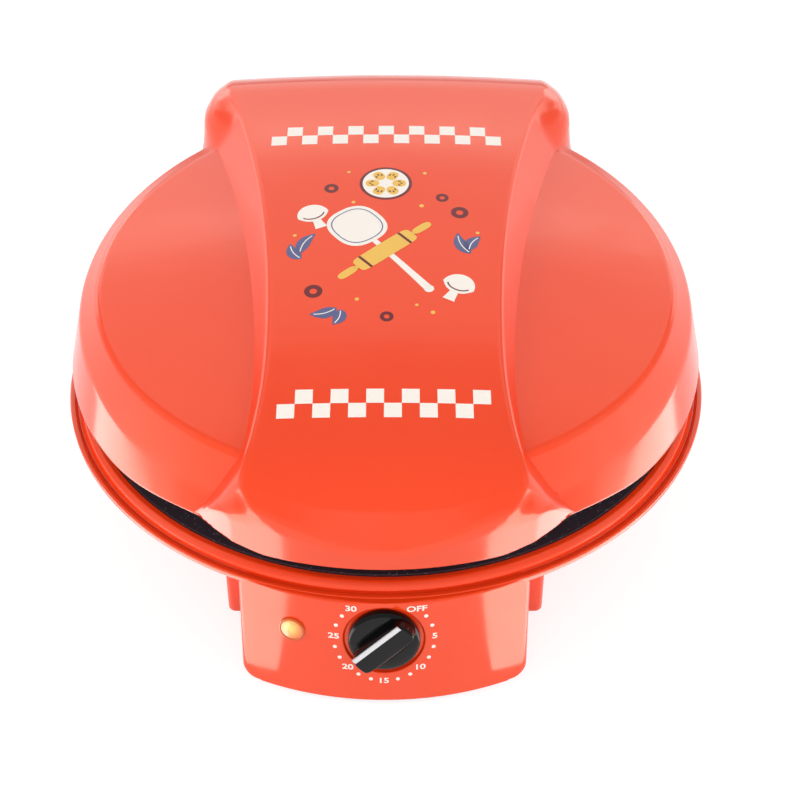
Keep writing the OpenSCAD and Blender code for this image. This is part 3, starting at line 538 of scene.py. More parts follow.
print("spine grid:", spine_points.shape, "hidden faces dropped:", len(hidden))

# %% [markdown]
# ## The dome under the spine
#
# On the real moulding the dome simply stops where the spine passes over it. As two skins, the
# dome's crease would come close to the nose from below. A boolean could trim it, but it is enough
# to press the covered part down: each covered point is lowered to 3 mm under the spine.


# %% Dome under the spine
dome_flat = np.empty(len(lid_dome.data.vertices) * 3)
lid_dome.data.vertices.foreach_get("co", dome_flat)
dome_xyz = dome_flat.reshape(-1, 3) / MM
spine_over = spine_height(dome_xyz[:, 1]) - dome_xyz[:, 0] ** 2 / (2 * CROSS_R)
covered_w = spine_half_width(dome_xyz[:, 1]) - tongue_corner(dome_xyz[:, 1]) - 1
covered = (np.abs(dome_xyz[:, 0]) < covered_w) & (dome_xyz[:, 1] < 0)
dome_xyz[covered, 2] = np.minimum(dome_xyz[covered, 2], spine_over[covered] - 3)
lid_dome.data.vertices.foreach_set("co", (dome_xyz * MM).ravel())
lid_dome.data.update()
print("dome points under the spine:", int(covered.sum()))

# %% [markdown]
# ## The ledge that carries the upper plate
#
# Inside the lid's mouth runs a narrow ledge, and the upper plate is screwed up against it. It is a
# plain ring, so a small profile turned round the axis gives it, with its arrises just broken.

# %% Lid ledge
lid_ledge = turned("lid_ledge", [(156, 82.5), (161, 82.5), (161, 85), (156, 85)], [0.5] * 4, RED)
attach(lid_ledge, "lid")
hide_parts("lid_shell")
print("ledge quads:", len(lid_ledge.data.polygons))

# %% [markdown]
# ## Base rim and bowl
#
# The base is a deep bowl with a rolled lip. The light catches three narrow lines on it: the bead at
# the edge, the groove inside the bead, and the step up to the land round the plate. All of them
# are in one profile, so the bowl is turned like a pot, with its own radius at each corner.

# %% Bowl and rim
BOWL_FOOT_R, BOWL_FOOT_Z, BOWL_TOP_Z, BOWL_LEAN = 126.7, 12.0, 57.0, 37.0 / 43.0
bowl_outline = [
    (160.8, 65.0), (160.8, 63.5), (156.0, 63.5), (156.0, 61.0), (162.4, 61.0), (162.4, 55.0),
    (125.4, 12.0), (128.0, 12.0), (165.0, 55.0), (169.0, 56.6), (172.0, 57.6), (172.0, 61.4),
    (168.9, 61.4), (168.2, 60.1), (167.2, 60.3), (165.8, 63.4), (163.6, 64.9),
]
bowl_cuts = [0.5, 0.3, 0.4, 0.4, 1, 1, 1.2, 1.2, 2.4, 1.6, 1.5, 1.4, 0.9, 0.4, 0.5, 0.9, 1.2]
base_bowl = turned("base_bowl", bowl_outline, bowl_cuts, RED, steps=360, bend=6)
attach(base_bowl, "base")
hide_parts("base_shell")
print("bowl quads:", len(base_bowl.data.polygons))


# %% Where other walls meet the bowl
def bowl_wall(z):
    """Radius of the middle of the bowl's sloping wall at a height."""
    return BOWL_FOOT_R + BOWL_LEAN * (np.clip(z, BOWL_FOOT_Z, BOWL_TOP_Z) - BOWL_FOOT_Z)


def bowl_reach(x, z):
    """Distance y, in front or behind, at which an upright wall at x reaches the bowl's wall."""
    return np.sqrt(np.maximum(bowl_wall(z) ** 2 - x**2, 1.0))


print("bowl wall radius at 40 mm:", round(float(bowl_wall(40.0)), 1))

# %% [markdown]
# ## The control panel
#
# The panel is a slice of a leaning cone, cut to a rounded rectangle, with a round recess
# for the knob. A boolean cut would leave ragged edges on such a soft moulding. Here the surface
# is polar instead: rings start on the recess floor, climb its wall, roll over its lip, run out
# over the face to the outline and turn back round the edge. Every edge gets an even radius.

# %% Panel measures
PANEL_AXIS_Y, PANEL_R, LEAN = -32.0137, 153.0, np.radians(9.7)
PANEL_W, PANEL_FOOT_Z, PANEL_TOP_Z, PANEL_CORNER = 70.5, 2.0, 61.0, 6.0
DIAL_Z = 39.0
DIAL_Y = PANEL_AXIS_Y - (PANEL_R - np.tan(LEAN) * (DIAL_Z - PANEL_FOOT_Z))
RECESS_R, RECESS_DEPTH = 19.8, 3.0


def panel_face(x, z, proud=0.0):
    """A point of the leaning cone at x and height z, moved outwards by proud mm."""
    radius = PANEL_R - np.tan(LEAN) * (z - PANEL_FOOT_Z)
    depth = np.sqrt(radius**2 - x**2)
    outward = points_of(x / radius, -depth / radius, np.tan(LEAN)) * np.cos(LEAN)
    return points_of(x, PANEL_AXIS_Y - depth, z) + proud * outward


def dial_point(u, v, w):
    """A point in the dial's own frame: u to the right, v up the face, w out of it."""
    y = DIAL_Y + np.sin(LEAN) * v - np.cos(LEAN) * w
    return points_of(u, y, DIAL_Z + np.cos(LEAN) * v + np.sin(LEAN) * w)


print("face of the panel at the dial, y in mm:", round(float(DIAL_Y), 1))


# %% Panel outline
def box_outline(half_w, low, high, radius, spacing=1.2):
    """Points round a rounded rectangle, clockwise from the middle of its top."""
    bends = []
    for cx, cz, start in ((1, 1, 90), (1, -1, 0), (-1, -1, -90), (-1, 1, -180)):
        a = np.radians(np.linspace(start, start - 90, 13))
        centre = np.array([cx * (half_w - radius), high - radius if cz > 0 else low + radius])
        bends.append(centre + radius * np.stack([np.cos(a), np.sin(a)], -1))
    path = np.concatenate([[[0.0, high]]] + bends + [[[0.0, high]]])
    length = np.concatenate([[0], np.cumsum(np.linalg.norm(np.diff(path, axis=0), axis=1))])
    count = int(length[-1] / spacing)
    even = np.linspace(0, length[-1], count, endpoint=False)
    return np.stack([np.interp(even, length, path[:, i]) for i in (0, 1)], -1)


rim_line = box_outline(PANEL_W, PANEL_FOOT_Z, PANEL_TOP_Z, PANEL_CORNER)
ray = rim_line - [0.0, DIAL_Z]
ray_length = np.linalg.norm(ray, axis=1, keepdims=True)
ray = ray / ray_length
circle = unit(ray / [1.0, np.cos(LEAN)])
print("panel outline points:", len(rim_line))


# %% Panel surface
def recess(radius, depth):
    """A ring of the recess: radius from the dial's centre, depth below its plane."""
    return dial_point(radius * circle[:, 0], radius * circle[:, 1], -depth)


def face_ring(radius):
    """A ring on the cone itself at a radius from the dial's centre."""
    return panel_face(radius * circle[:, 0], DIAL_Z + radius * circle[:, 1] * np.cos(LEAN))


room = ray_length[:, 0] - RECESS_R - 0.5
collar = RECESS_R + np.minimum(3.0, 0.35 * room)
recess_floor = [recess(3.6, RECESS_DEPTH), recess(RECESS_R - 0.4, RECESS_DEPTH)]
lip = rounded_rows(recess_floor + [face_ring(RECESS_R), face_ring(collar)], [0, 0.8, 0.7, 0])
inner = face_ring(collar)[:, [0, 2]]
inset = rim_line - ray * np.clip(0.45 * room, 0.4, 5.0)[:, None]
run_out = np.linspace(0, 1, 26)[1:-1, None, None]
face_xz = inner[None] * (1 - run_out) + inset[None] * run_out
face_rows = panel_face(face_xz[..., 0], face_xz[..., 1])
edge = panel_face(rim_line[:, 0], rim_line[:, 1])
side_share = np.clip((np.abs(rim_line[:, 0]) - 62) / 8.4, 0, 1)
back_run = np.where(rim_line[:, 1] > 31, 8.0, 3.0) * (1 - side_share)
behind = edge.copy()
wall_end = -np.maximum(bowl_reach(rim_line[:, 0], rim_line[:, 1]), 100.0)
behind[:, 1] += back_run + side_share * (wall_end - edge[:, 1])
before = panel_face(inset[:, 0], inset[:, 1])
turned_edge = rounded_rows([before, edge, behind], [0, 2.6, 0], bend=8, run=8)
panel_rows = np.concatenate([lip, face_rows, turned_edge], 0)
panel = surface("control_panel", panel_rows, RED, wrap=True)
thicken(panel, 2.2)
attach(panel, "base")
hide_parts("base_shell")
print("panel quads:", len(panel.data.polygons))

# %% [markdown]
# ## Legs
#
# Four short legs grow out of the bowl, each with a rubber foot in its end. A leg is a rounded
# rectangle carried upwards, with a rolled lower edge and a socket for the foot. The four are the
# same grid, moved to their places, and their tops are lowered to meet the bowl's wall.


# %% Legs
def join(name, pieces):
    """Several meshes become one object; their faces keep their order and finish."""
    work = bmesh.new()
    for piece in pieces:
        work.from_mesh(piece.data)
    mesh = bpy.data.meshes.new(name)
    work.to_mesh(mesh)
    work.free()
    for slot in pieces[0].data.materials:
        mesh.materials.append(slot)
    for piece in pieces:
        old = piece.data
        bpy.data.objects.remove(piece)
        bpy.data.meshes.remove(old)
    whole = bpy.data.objects.new(name, mesh)
    bpy.context.scene.collection.objects.link(whole)
    return whole


LEG_X, LEG_Y = 70.0, 114.0
leg_line = box_outline(11.0, -13.0, 13.0, 4.0, spacing=0.9)
leg_ray = unit(leg_line)
leg_steps = [(leg_ray * 9.0, 4.5), (leg_ray * 9.0, 3.0), (leg_line, 3.0), (leg_line, 41.0)]
leg_path = [points_of(*xy.T, z) for xy, z in leg_steps]
leg_rows = rounded_rows(leg_path, [0, 0.3, 1.6, 0], bend=6, run=4)
legs = []
for x in (-LEG_X, LEG_X):
    for y in (-LEG_Y, LEG_Y):
        leg = leg_rows + [x, y, 0.0]
        under = BOWL_FOOT_Z + (np.hypot(leg[..., 0], leg[..., 1]) - BOWL_FOOT_R) / BOWL_LEAN
        leg[..., 2] = np.minimum(leg[..., 2], np.maximum(under, BOWL_FOOT_Z))
        legs.append(surface("leg", leg, RED, wrap=True, flip=True))
base_legs = join("base_legs", legs)
thicken(base_legs, 1.6)
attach(base_legs, "base")
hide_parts("base_shell")
print("legs:", len(legs))

# %% [markdown]
# ## The housing behind the bowl
#
# A low box behind the bowl holds the terminals and carries the hinge. It has large upright corners
# and a hole for the cord. The polar idea works again: rings start at the cord hole and run out to
# the outline, and the edge radius is an array, wide at the two ends and tight above and below.

# %% Rear housing
REAR_Y, REAR_W, GLAND = 182.0, 100.0, np.array([45.0, 30.0])
GLAND_R, GLAND_FACE_R = 7.0, 9.5
rear_line = box_outline(REAR_W, 12.0, 48.0, 2.0, spacing=1.4)
rear_ray = unit(rear_line - GLAND)


def at_depth(xz, y):
    """Points seen from the front as x and z, set at a distance y behind the plates' axis."""
    return points_of(xz[:, 0], y, xz[:, 1])


end_share = np.clip((np.abs(rear_line[:, 0]) - (REAR_W - 3.0)) / 2.9, 0, 1)
rear_cut = 1.6 + end_share * 9.0
bore = GLAND + rear_ray * GLAND_R
face = at_depth(GLAND + rear_ray * GLAND_FACE_R, REAR_Y)
hole = rounded_rows([at_depth(bore, REAR_Y - 6), at_depth(bore, REAR_Y), face],
                    [0, 0.5, 0], bend=5, run=3)
rear_edge = rounded_rows(
    [face, at_depth(rear_line, REAR_Y), at_depth(rear_line, bowl_reach(*rear_line.T))],
    [0, rear_cut, 0], bend=9, run=12)
rear_rows = np.concatenate([hole, rear_edge[1:]], 0)
rear_housing = surface("rear_housing", rear_rows, RED, wrap=True, flip=True)
thicken(rear_housing, WALL)
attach(rear_housing, "base")
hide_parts("base_shell")
print("housing outline points:", len(rear_line))

# %% [markdown]
# ## The timer knob
#
# A black knob sits in the recess: a round skirt with a soft edge, and on it a grip like a leaf,
# wide at its foot and flat on top. A box cut by cylinders would show hard joints. The grip is rings
# of points instead, each ring a blend of a circle and two side lines, so its corners stay soft from
# foot to top. The knob stands at 20 minutes, so its own axes are turned by that angle.

# %% Knob
DIAL_START, DIAL_STEP, MINUTES_PER_STEP, SHOWN_MINUTES = 40, 46.667, 5, 20
POINTER = np.radians(DIAL_START + SHOWN_MINUTES // MINUTES_PER_STEP * DIAL_STEP)
ahead = np.array([np.sin(POINTER), np.cos(POINTER)])
aside = np.array([np.cos(POINTER), -np.sin(POINTER)])


def knob_point(q, p, w):
    """A point in the knob's frame: q across the grip, p towards the pointer's tip, w outwards."""
    q, p, w = np.broadcast_arrays(q, p, w)
    return dial_point(aside[0] * q + ahead[0] * p, aside[1] * q + ahead[1] * p, w)


def grip_ring(left, right, radius, height, power, angle):
    """A closed ring inside a circle and two side lines. The inverse radius is the root of the sum
    of the inverse limits, each raised to a power: a high power gives tight corners."""
    c, s = np.cos(angle), np.sin(angle)
    side = np.where(c > 0, c / left, -c / right)
    r = (side**power + (1 / radius) ** power) ** (-1 / power)
    return knob_point(r * c, r * s, np.full_like(angle, height))


around = np.linspace(0, 2 * np.pi, 160, endpoint=False)
skirt_path = rounded(
    [(0.0, -2.4), (17.3, -2.4), (17.3, 0.6), (16.0, 1.6), (12.4, 2.3), (0.0, 2.7)],
    [0, 0.4, 0.8, 1.2, 3.0, 0], bend=7, run=4)
skirt_r, skirt_w = skirt_path[:, :1], skirt_path[:, 1:]
skirt_rows = knob_point(skirt_r * np.cos(around), skirt_r * np.sin(around), skirt_w)
skirt = surface("skirt", skirt_rows, RED, wrap=True)
grip_path = [
    grip_ring(9.0, 10.8, 17.2, 1.2, 3.4, around),
    grip_ring(8.5, 8.6, 17.0, 3.6, 4.0, around),
    grip_ring(7.4, 5.0, 16.4, 8.0, 9.0, around),
    grip_ring(3.0, 2.0, 7.0, 8.2, 9.0, around),
    grip_ring(0.01, 0.01, 0.01, 8.2, 9.0, around),
]
grip_rows = rounded_rows(grip_path, [0, 2.2, 1.1, 0.5, 0], bend=9, run=5)
grip = surface("grip", grip_rows, RED, wrap=True)
print("knob rings:", len(skirt_rows), len(grip_rows))

# %% [markdown]
# ## Black knob plastic and the bright strip
#
# The knob is glossy black with a fine haze of handling marks, and the strip along the grip is
# polished metal with a fine even grain. Both use noise: fine and close for the metal's grain, and
# in soft patches for the haze. Drawn or ground metal takes the same noise, stretched one way.


# %% Knob finish
def gloss_black(name, colour, low, high):
    """Dark moulded plastic: gloss that varies in patches, and a fine grain in the bump."""
    material, tree, shader, place = new_material(name)
    set_inputs(shader, {"Base Color": colour, "Specular IOR Level": 0.3})
    haze = between(tree, noise(tree, place, 160.0, 5.0), low, high, 0.3, 0.7)
    tree.links.new(haze, shader.inputs["Roughness"])
    bump(tree, shader, noise(tree, place, 900.0, 3.0), 0.01, 0.3)
    return material


def stretched(tree, place, sizes, turn=(0.0, 0.0, 0.0)):
    """Object coordinates scaled per axis, so that a pattern runs long in one direction."""
    values = {"Scale": sizes, "Rotation": turn}
    return add_node(tree, "Mapping", values, {"Vector": place}).outputs["Vector"]


def metal(name, colour, other, rough, sizes, scale, depth=0.01):
    """Bare metal: two close tones and a gloss that follow the same drawn or rolled grain."""
    material, tree, shader, place = new_material(name)
    grain = noise(tree, stretched(tree, place, sizes), scale, 6.0, 0.6)
    gloss = between(tree, grain, rough * 0.7, rough * 1.4, 0.3, 0.7)
    feed(tree, shader, blend_colour(tree, grain, colour, other), gloss)
    set_inputs(shader, {"Metallic": 1.0})
    bump(tree, shader, grain, depth, 0.4)
    return material


KNOB_BLACK = gloss_black("knob_gloss_black", rgb(9, 9, 10), 0.06, 0.13)
timer_knob = join("timer_knob_skin", [skirt, grip])
timer_knob.data.materials[0] = KNOB_BLACK
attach(timer_knob, "knob")
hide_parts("timer_knob")
print("knob quads:", len(timer_knob.data.polygons))

# %% Bright strip
POINTER_METAL = metal(
    "pointer_metal", rgb(236, 236, 238), rgb(205, 206, 210), 0.24, (1, 1, 1), 1500.0)
STRIP_FOOT = 7.9
strip_path = rounded(
    [(3.9, STRIP_FOOT), (3.9, 8.3), (6.0, 8.6), (6.75, 8.3), (6.75, STRIP_FOOT)],
    [0, 0.2, 0.25, 0.2, 0], bend=4, run=2)
lengths = 14.9 * np.sin(np.linspace(-np.pi / 2, np.pi / 2, 25))
strip_q, strip_w = strip_path.T
strip_rows = knob_point(strip_q[None], lengths[:, None], strip_w[None])
strip_ends = knob_point(strip_q[None], lengths[[0, -1], None], STRIP_FOOT)
strip_grid = np.concatenate([strip_ends[:1], strip_rows, strip_ends[1:]], 0)
strip = surface("knob_strip", strip_grid, POINTER_METAL, flip=True)
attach(strip, "knob")
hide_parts("knob_pointer")
print("strip length in mm:", round(2 * float(lengths[-1]), 1))

# %% [markdown]
# ## The lamp
#
# A small neon lamp glows behind an amber lens. The lens is a shallow dome with a narrow ring
# moulded round it. Real glow through plastic is brightest in front of the bulb and falls off to
# deep orange at the ring, so the emission follows the distance from the bulb.

# %% Lamp place
LAMP_TURN, LAMP_Z = np.radians(-17.7), 40.0
LAMP_R = PANEL_R - np.tan(LEAN) * (LAMP_Z - PANEL_FOOT_Z)
lamp_sin, lamp_cos = np.sin(LAMP_TURN), np.cos(LAMP_TURN)
lamp_centre = np.array([LAMP_R * lamp_sin, PANEL_AXIS_Y - LAMP_R * lamp_cos, LAMP_Z])
lamp_out = np.array([lamp_sin * np.cos(LEAN), -lamp_cos * np.cos(LEAN), np.sin(LEAN)])
lamp_right = np.array([lamp_cos, lamp_sin, 0.0])
lamp_up = np.cross(lamp_out, lamp_right)


def lamp_ring_grid(profile):
    """A profile of radius and height pairs turned round the lamp's own axis."""
    a = np.linspace(0, 2 * np.pi, 72, endpoint=False)[None, :, None]
    r, h = profile[:, None, :1], profile[:, None, 1:2]
    return lamp_centre + r * (np.cos(a) * lamp_right + np.sin(a) * lamp_up) + h * lamp_out


print("lamp centre in mm:", np.round(lamp_centre, 1))


# %% Amber lens
def cells(tree, place, scale, output="Distance"):
    """Distances to, or random colours of, scattered points; scale is in cells per metre."""
    return add_node(tree, "TexVoronoi", {"Scale": scale}, {"Vector": place}).outputs[output]


AMBER, amber_tree, amber_shader, amber_place = new_material("amber_lens")
bulb = tuple((lamp_centre + 1.2 * lamp_up - 0.8 * lamp_right) * MM)
offset = add_node(amber_tree, "VectorMath", {1: bulb}, {0: amber_place})
offset.operation = "DISTANCE"
falloff = between(amber_tree, offset.outputs["Value"], 0.0, 1.0, 0.0008, 0.0062)
shine = blend_colour(amber_tree, falloff, rgb(255, 214, 120), rgb(236, 112, 34))
for socket in ("Base Color", "Emission Color"):
    amber_tree.links.new(shine, amber_shader.inputs[socket])
set_inputs(amber_shader, {"Emission Strength": 0.32, "Roughness": 0.12, "Coat Weight": 0.6})
bump(amber_tree, amber_shader, cells(amber_tree, amber_place, 900.0), 0.12, 0.5)
lens_path = rounded([(6.6, -0.3), (6.6, 0.75), (5.5, 0.95), (4.9, 1.25), (2.6, 1.75), (0.0, 1.8)],
                    [0, 0.45, 0.3, 0.8, 1.3, 0], bend=6, run=3)
lamp_lens = surface("lamp_lens", lamp_ring_grid(lens_path), AMBER, wrap=True)
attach(lamp_lens, "base")
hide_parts("indicator_lens")
print("lens quads:", len(lamp_lens.data.polygons))

# %% Ring round the lens
AMBER_RING = shell_plastic("lamp_ring_orange", rgb(214, 92, 30), rgb(200, 78, 22), 0.12)
ring_path = rounded([(5.2, 0.2), (5.35, 1.2), (6.0, 1.3), (6.7, 0.9), (6.7, -0.3)],
                    [0, 0.3, 0.4, 0.4, 0], bend=6, run=2)
lamp_ring = surface("lamp_ring", lamp_ring_grid(ring_path), AMBER_RING, wrap=True, flip=True)
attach(lamp_ring, "base")
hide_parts("indicator_lens")
print("ring quads:", len(lamp_ring.data.polygons))

# %% [markdown]
# ## Printing on curved faces
#
# The dial marks, the checker strips and the decoration are pad printed on the real shells. An
# image would be the usual way, but print made of thin mesh stays sharp at any distance. A motif is
# drawn flat, as a blob round a centre or a ribbon along a path, and then every point goes through
# the same formula as the surface under it, so the ink follows the curve, 0.05 mm or more above it.


# %% Inks
def ink(name, colour, faded):
    """Screen ink: a satin film with tiny thin spots where the ground shows slightly through."""
    material, tree, shader, place = new_material(name)
    spots = between(tree, noise(tree, place, 1400.0, 3.0), 0.0, 1.0, 0.62, 0.78)
    tree.links.new(blend_colour(tree, spots, colour, faded), shader.inputs["Base Color"])
    set_inputs(shader, {"Roughness": 0.32})
    bump(tree, shader, noise(tree, place, 2200.0, 2.0), 0.008, 0.3)
    return material


CREAM = ink("ink_cream", rgb(255, 246, 236), rgb(252, 214, 196))
YELLOW = ink("ink_yellow", rgb(247, 196, 84), rgb(240, 160, 70))
SLATE = ink("ink_slate", rgb(92, 98, 142), rgb(120, 92, 120))
MAROON = ink("ink_maroon", rgb(112, 24, 30), rgb(140, 34, 30))
print("inks:", CREAM.name, YELLOW.name, SLATE.name, MAROON.name)


# %% Flat motifs
def blob(centre, radius, inner=0.0, rows=7, steps=64):
    """A flat shape round a centre. radius is a number or a function of the angle; rows run from
    inner, a share of the radius, out to the edge."""
    a = np.linspace(0, 2 * np.pi, steps, endpoint=False)
    edge = radius(a) if callable(radius) else np.full_like(a, radius)
    share = np.linspace(inner, 1, rows)[:, None]
    x, y = share * edge * np.cos(a), share * edge * np.sin(a)
    return np.stack([centre[0] + x, centre[1] + y], -1), True


def ribbon(path, width, cols=5, count=40):
    """A band along a path of points. width is a number or a function of the share of its length."""
    path = np.asarray(path, float)
    t = np.linspace(0, 1, len(path))
    s = np.linspace(0, 1, count)
    line = np.stack([np.interp(s, t, path[:, 0]), np.interp(s, t, path[:, 1])], -1)
    along = unit(np.gradient(line, axis=0))
    normal = np.stack([-along[:, 1], along[:, 0]], -1)
    half = (width(s) if callable(width) else np.full_like(s, width)) / 2
    across = np.linspace(-1, 1, cols)
    return line[:, None] + normal[:, None] * (across[None, :, None] * half[:, None, None]), False


print("points in a blob:", blob((0, 0), 1.0)[0].shape[:2])


# %% Ink on a surface
def on_spine(flat, proud):
    """Lays flat points on the spine's crown, straight down, then lifts them along its slope."""
    x, y = flat[..., 0], flat[..., 1]
    slope = (spine_height(y + 0.05) - spine_height(y - 0.05)) / 0.1
    point = points_of(x, y, spine_height(y) - x * x / (2 * CROSS_R))
    return point + proud * unit(points_of(x / CROSS_R, -slope, 1.0))


def on_dial(flat, proud):
    """Lays flat points on the panel: x to the right and y up the face from the dial's centre."""
    return panel_face(flat[..., 0], DIAL_Z + flat[..., 1] * np.cos(LEAN), proud)


def printed(name, shapes, lay, material, body, proud=0.05):
    """Lays all shapes of one ink on a surface and joins them into one piece."""
    pieces = [surface("shape", lay(flat, proud), material, wrap=closed) for flat, closed in shapes]
    piece = join(name, pieces)
    fix_facing(piece)
    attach(piece, body)
    return piece


def fix_facing(piece):
    """Turns round any face of a print that looks into the surface under it."""
    work = bmesh.new()
    work.from_mesh(piece.data)
    work.faces.ensure_lookup_table()
    outward = Vector((0.0, -0.35, 0.94)).normalized()
    wrong = [face for face in work.faces if face.normal.dot(outward) < 0]
    bmesh.ops.reverse_faces(work, faces=wrong)
    work.to_mesh(piece.data)
    work.free()


print("the spine's top over the middle, in mm:", np.round(on_spine(np.zeros(2), 0.0), 1))

# %% [markdown]
# ## Dial marks
#
# The dial runs clockwise from OFF to 30, a number every five minutes and two dots between. The
# numbers are text turned into mesh before they are laid on the cone. They stay upright, as on the
# real panel, so that they read from the front.


# %% Lettering
def lettering(words, height, stretch):
    """Text as loose flat triangles in mm, centred on its own middle."""
    curve = bpy.data.curves.new("words", "FONT")
    curve.body = words
    curve.size = height / 0.72
    curve.offset = 0.035 * height
    holder = bpy.data.objects.new("words", curve)
    bpy.context.scene.collection.objects.link(holder)
    bpy.context.view_layer.update()
    finished = holder.evaluated_get(bpy.context.evaluated_depsgraph_get())
    mesh = bpy.data.meshes.new_from_object(finished)
    points = np.empty(len(mesh.vertices) * 3)
    mesh.vertices.foreach_get("co", points)
    points = points.reshape(-1, 3)[:, :2]
    points = (points - (points.min(0) + points.max(0)) / 2) * [stretch, 1.0]
    faces = [tuple(face.vertices) for face in mesh.polygons]
    bpy.data.objects.remove(holder)
    bpy.data.curves.remove(curve)
    bpy.data.meshes.remove(mesh)
    return points, faces


NUMBER_HEIGHT, NUMBER_STRETCH = 3.15, 1.28
print("corners in a 5:", len(lettering("5", NUMBER_HEIGHT, NUMBER_STRETCH)[0]))

# %% Dial marks
MARKS, MARKS_PER_STEP, MARK_R = 19, 3, 24.4
mark_angles = np.radians(DIAL_START + np.arange(MARKS) * DIAL_STEP / MARKS_PER_STEP)
mark_places = MARK_R * np.stack([np.sin(mark_angles), np.cos(mark_angles)], -1)
dot_places = [place for k, place in enumerate(mark_places) if k % MARKS_PER_STEP]
dots = [blob(place, 1.0, rows=4, steps=20) for place in dot_places]
printed("dial_dots", dots, on_dial, CREAM, "base")
number_pieces = []
for k in range(0, MARKS, MARKS_PER_STEP):
    word = "OFF" if k == 0 else str(k // MARKS_PER_STEP * MINUTES_PER_STEP)
    points, faces = lettering(word, NUMBER_HEIGHT, NUMBER_STRETCH)
    laid = on_dial(points + mark_places[k], 0.06)
    number_pieces.append(piece_of("number", laid, faces, CREAM))
dial_numbers = join("dial_numbers", number_pieces)
fix_facing(dial_numbers)
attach(dial_numbers, "base")
print("dial marks:", len(dots), "dots,", len(number_pieces), "numbers")

# %% [markdown]
# ## Checker strips
#
# Two strips of cream squares cross the spine, one near the nose and one near the hood. Each strip
# is two rows with every second square filled, the second row shifted by one. Each square is a
# small grid, so it bends with the spine.


# %% Checkers
def checker(centre_y, columns, side):
    """Squares of a two-row checker strip, centred across the spine, the first one low."""
    squares = []
    grid = np.linspace(0, side, 6)
    square = np.stack(np.meshgrid(grid, grid, indexing="ij"), -1)
    for i in range(columns):
        corner = np.array([(i - columns / 2) * side, centre_y - side if i % 2 == 0 else centre_y])
        squares.append((square + corner, False))
    return squares


front_squares, back_squares = checker(-111.0, 12, 8.5), checker(91.0, 15, 8.45)
printed("checker_front", front_squares, on_spine, CREAM, "lid")
printed("checker_back", back_squares, on_spine, CREAM, "lid")
print("checker squares:", len(front_squares) + len(back_squares))

# %% [markdown]
# ## The decoration
#
# The middle of the spine carries a kitchen motif: a peel and a rolling pin that cross, a slice of
# tomato above them, and mushrooms, olive rings and basil around. All of it is blobs and ribbons in
# four inks. Where two overlap, the upper one lies a little higher, as a second pass of ink does.


# %% Motif shapes
def placed(shapes, centre, tilt):
    """Turns flat shapes by tilt degrees and moves them to their centre."""
    c, s = np.cos(np.radians(tilt)), np.sin(np.radians(tilt))
    spin = np.array([[c, s], [-s, c]])
    return [(flat @ spin + np.asarray(centre, float), closed) for flat, closed in shapes]


def leaf(length, width):
    """A pointed leaf along x: its half width is a sine of the way along, sharpened at the tip."""
    def breadth(t):
        return width * np.sin(np.pi * t**0.8) ** 0.9 + 0.02
    way = np.linspace(0, 1, 24)
    bent = np.stack([length * way, 0.12 * length * np.sin(np.pi * way)], -1)
    return ribbon(bent, breadth, cols=7, count=36)


def blunt(a, wide, high, power=3.5):
    """Radius of a rounded box: the inverse is the root of the sum of the inverse limits."""
    return (np.abs(np.cos(a) / wide) ** power + np.abs(np.sin(a) / high) ** power) ** (-1 / power)


def peel():
    """A round blade with a flat front edge, and a long handle that thickens to its end."""
    blade = blob((0, 24), lambda a: blunt(a, 14.5, 15.0, 2.6), rows=9)
    handle = ribbon([(0, 11), (0, -36)], lambda t: 3.0 + 1.6 * t**2, cols=5, count=40)
    knob_end = blob((0, -36), 2.6, rows=4, steps=28)
    return [blade, handle, knob_end]


def rolling_pin():
    """A thick roller with rounded ends, and a turned grip at each end."""
    roller = blob((0, 0), lambda a: blunt(a, 5.2, 19.0, 7.0), rows=9, steps=96)
    grips = [blob((0, side * 25.5), lambda a: blunt(a, 2.3, 6.0, 3.0), rows=5) for side in (-1, 1)]
    necks = [ribbon([(0, side * 18.5), (0, side * 21)], 2.2, cols=3, count=6) for side in (-1, 1)]
    return [roller] + grips + necks


def cap(a):
    """Radius of a mushroom cap: a half round above, drawn in below."""
    return 8.5 * (1 - 0.42 * np.clip(-np.sin(a), 0, 1) ** 0.7)


def stem_width(t):
    """A mushroom stem that swells to its foot."""
    return 4.4 + 2.2 * t**2


print("mushroom cap radius in mm:", float(cap(0.0)))

# %% Peel and rolling pin
CROSSING, PEEL_TILT, PIN_TILT = (0, -8), 38, -48
tools_peel = placed(peel(), CROSSING, PEEL_TILT)
tools_pin = placed(rolling_pin(), CROSSING, PIN_TILT)
bands = [ribbon([(-5.1, y), (5.1, y)], 1.5, cols=3, count=12) for y in (-13.5, 13.5)]
pin_bands = placed(bands, CROSSING, PIN_TILT)
line = blob((0, 24), lambda a: blunt(a, 12.4, 12.9, 2.6), 0.955, rows=3, steps=96)
blade_line = placed([line], CROSSING, PEEL_TILT)
print("peel and pin cross at:", CROSSING)

# %% Slice of tomato
TOMATO = np.array([0.0, 46.0])
slice_ring = [blob(TOMATO, 14.0, rows=9)]
slice_flesh = [blob(TOMATO, 12.4, rows=9)]
slice_cells, seeds = [], []
flesh_cell = blob((0, 0), lambda b: blunt(b, 3.6, 2.9, 2.4), rows=6)
seed = blob((0, 0), lambda b: blunt(b, 0.9, 0.45, 2.0), rows=3, steps=18)
for tilt in range(0, 360, 60):
    a = np.radians(tilt)
    slice_cells += placed([flesh_cell], TOMATO + 7.2 * np.array([np.cos(a), np.sin(a)]), tilt)
    for spread in (-0.22, 0.0, 0.22):
        way = np.array([np.cos(a + spread), np.sin(a + spread)])
        seeds += placed([seed], TOMATO + (8.3 - 4 * abs(spread)) * way, tilt)
print("seeds:", len(seeds))

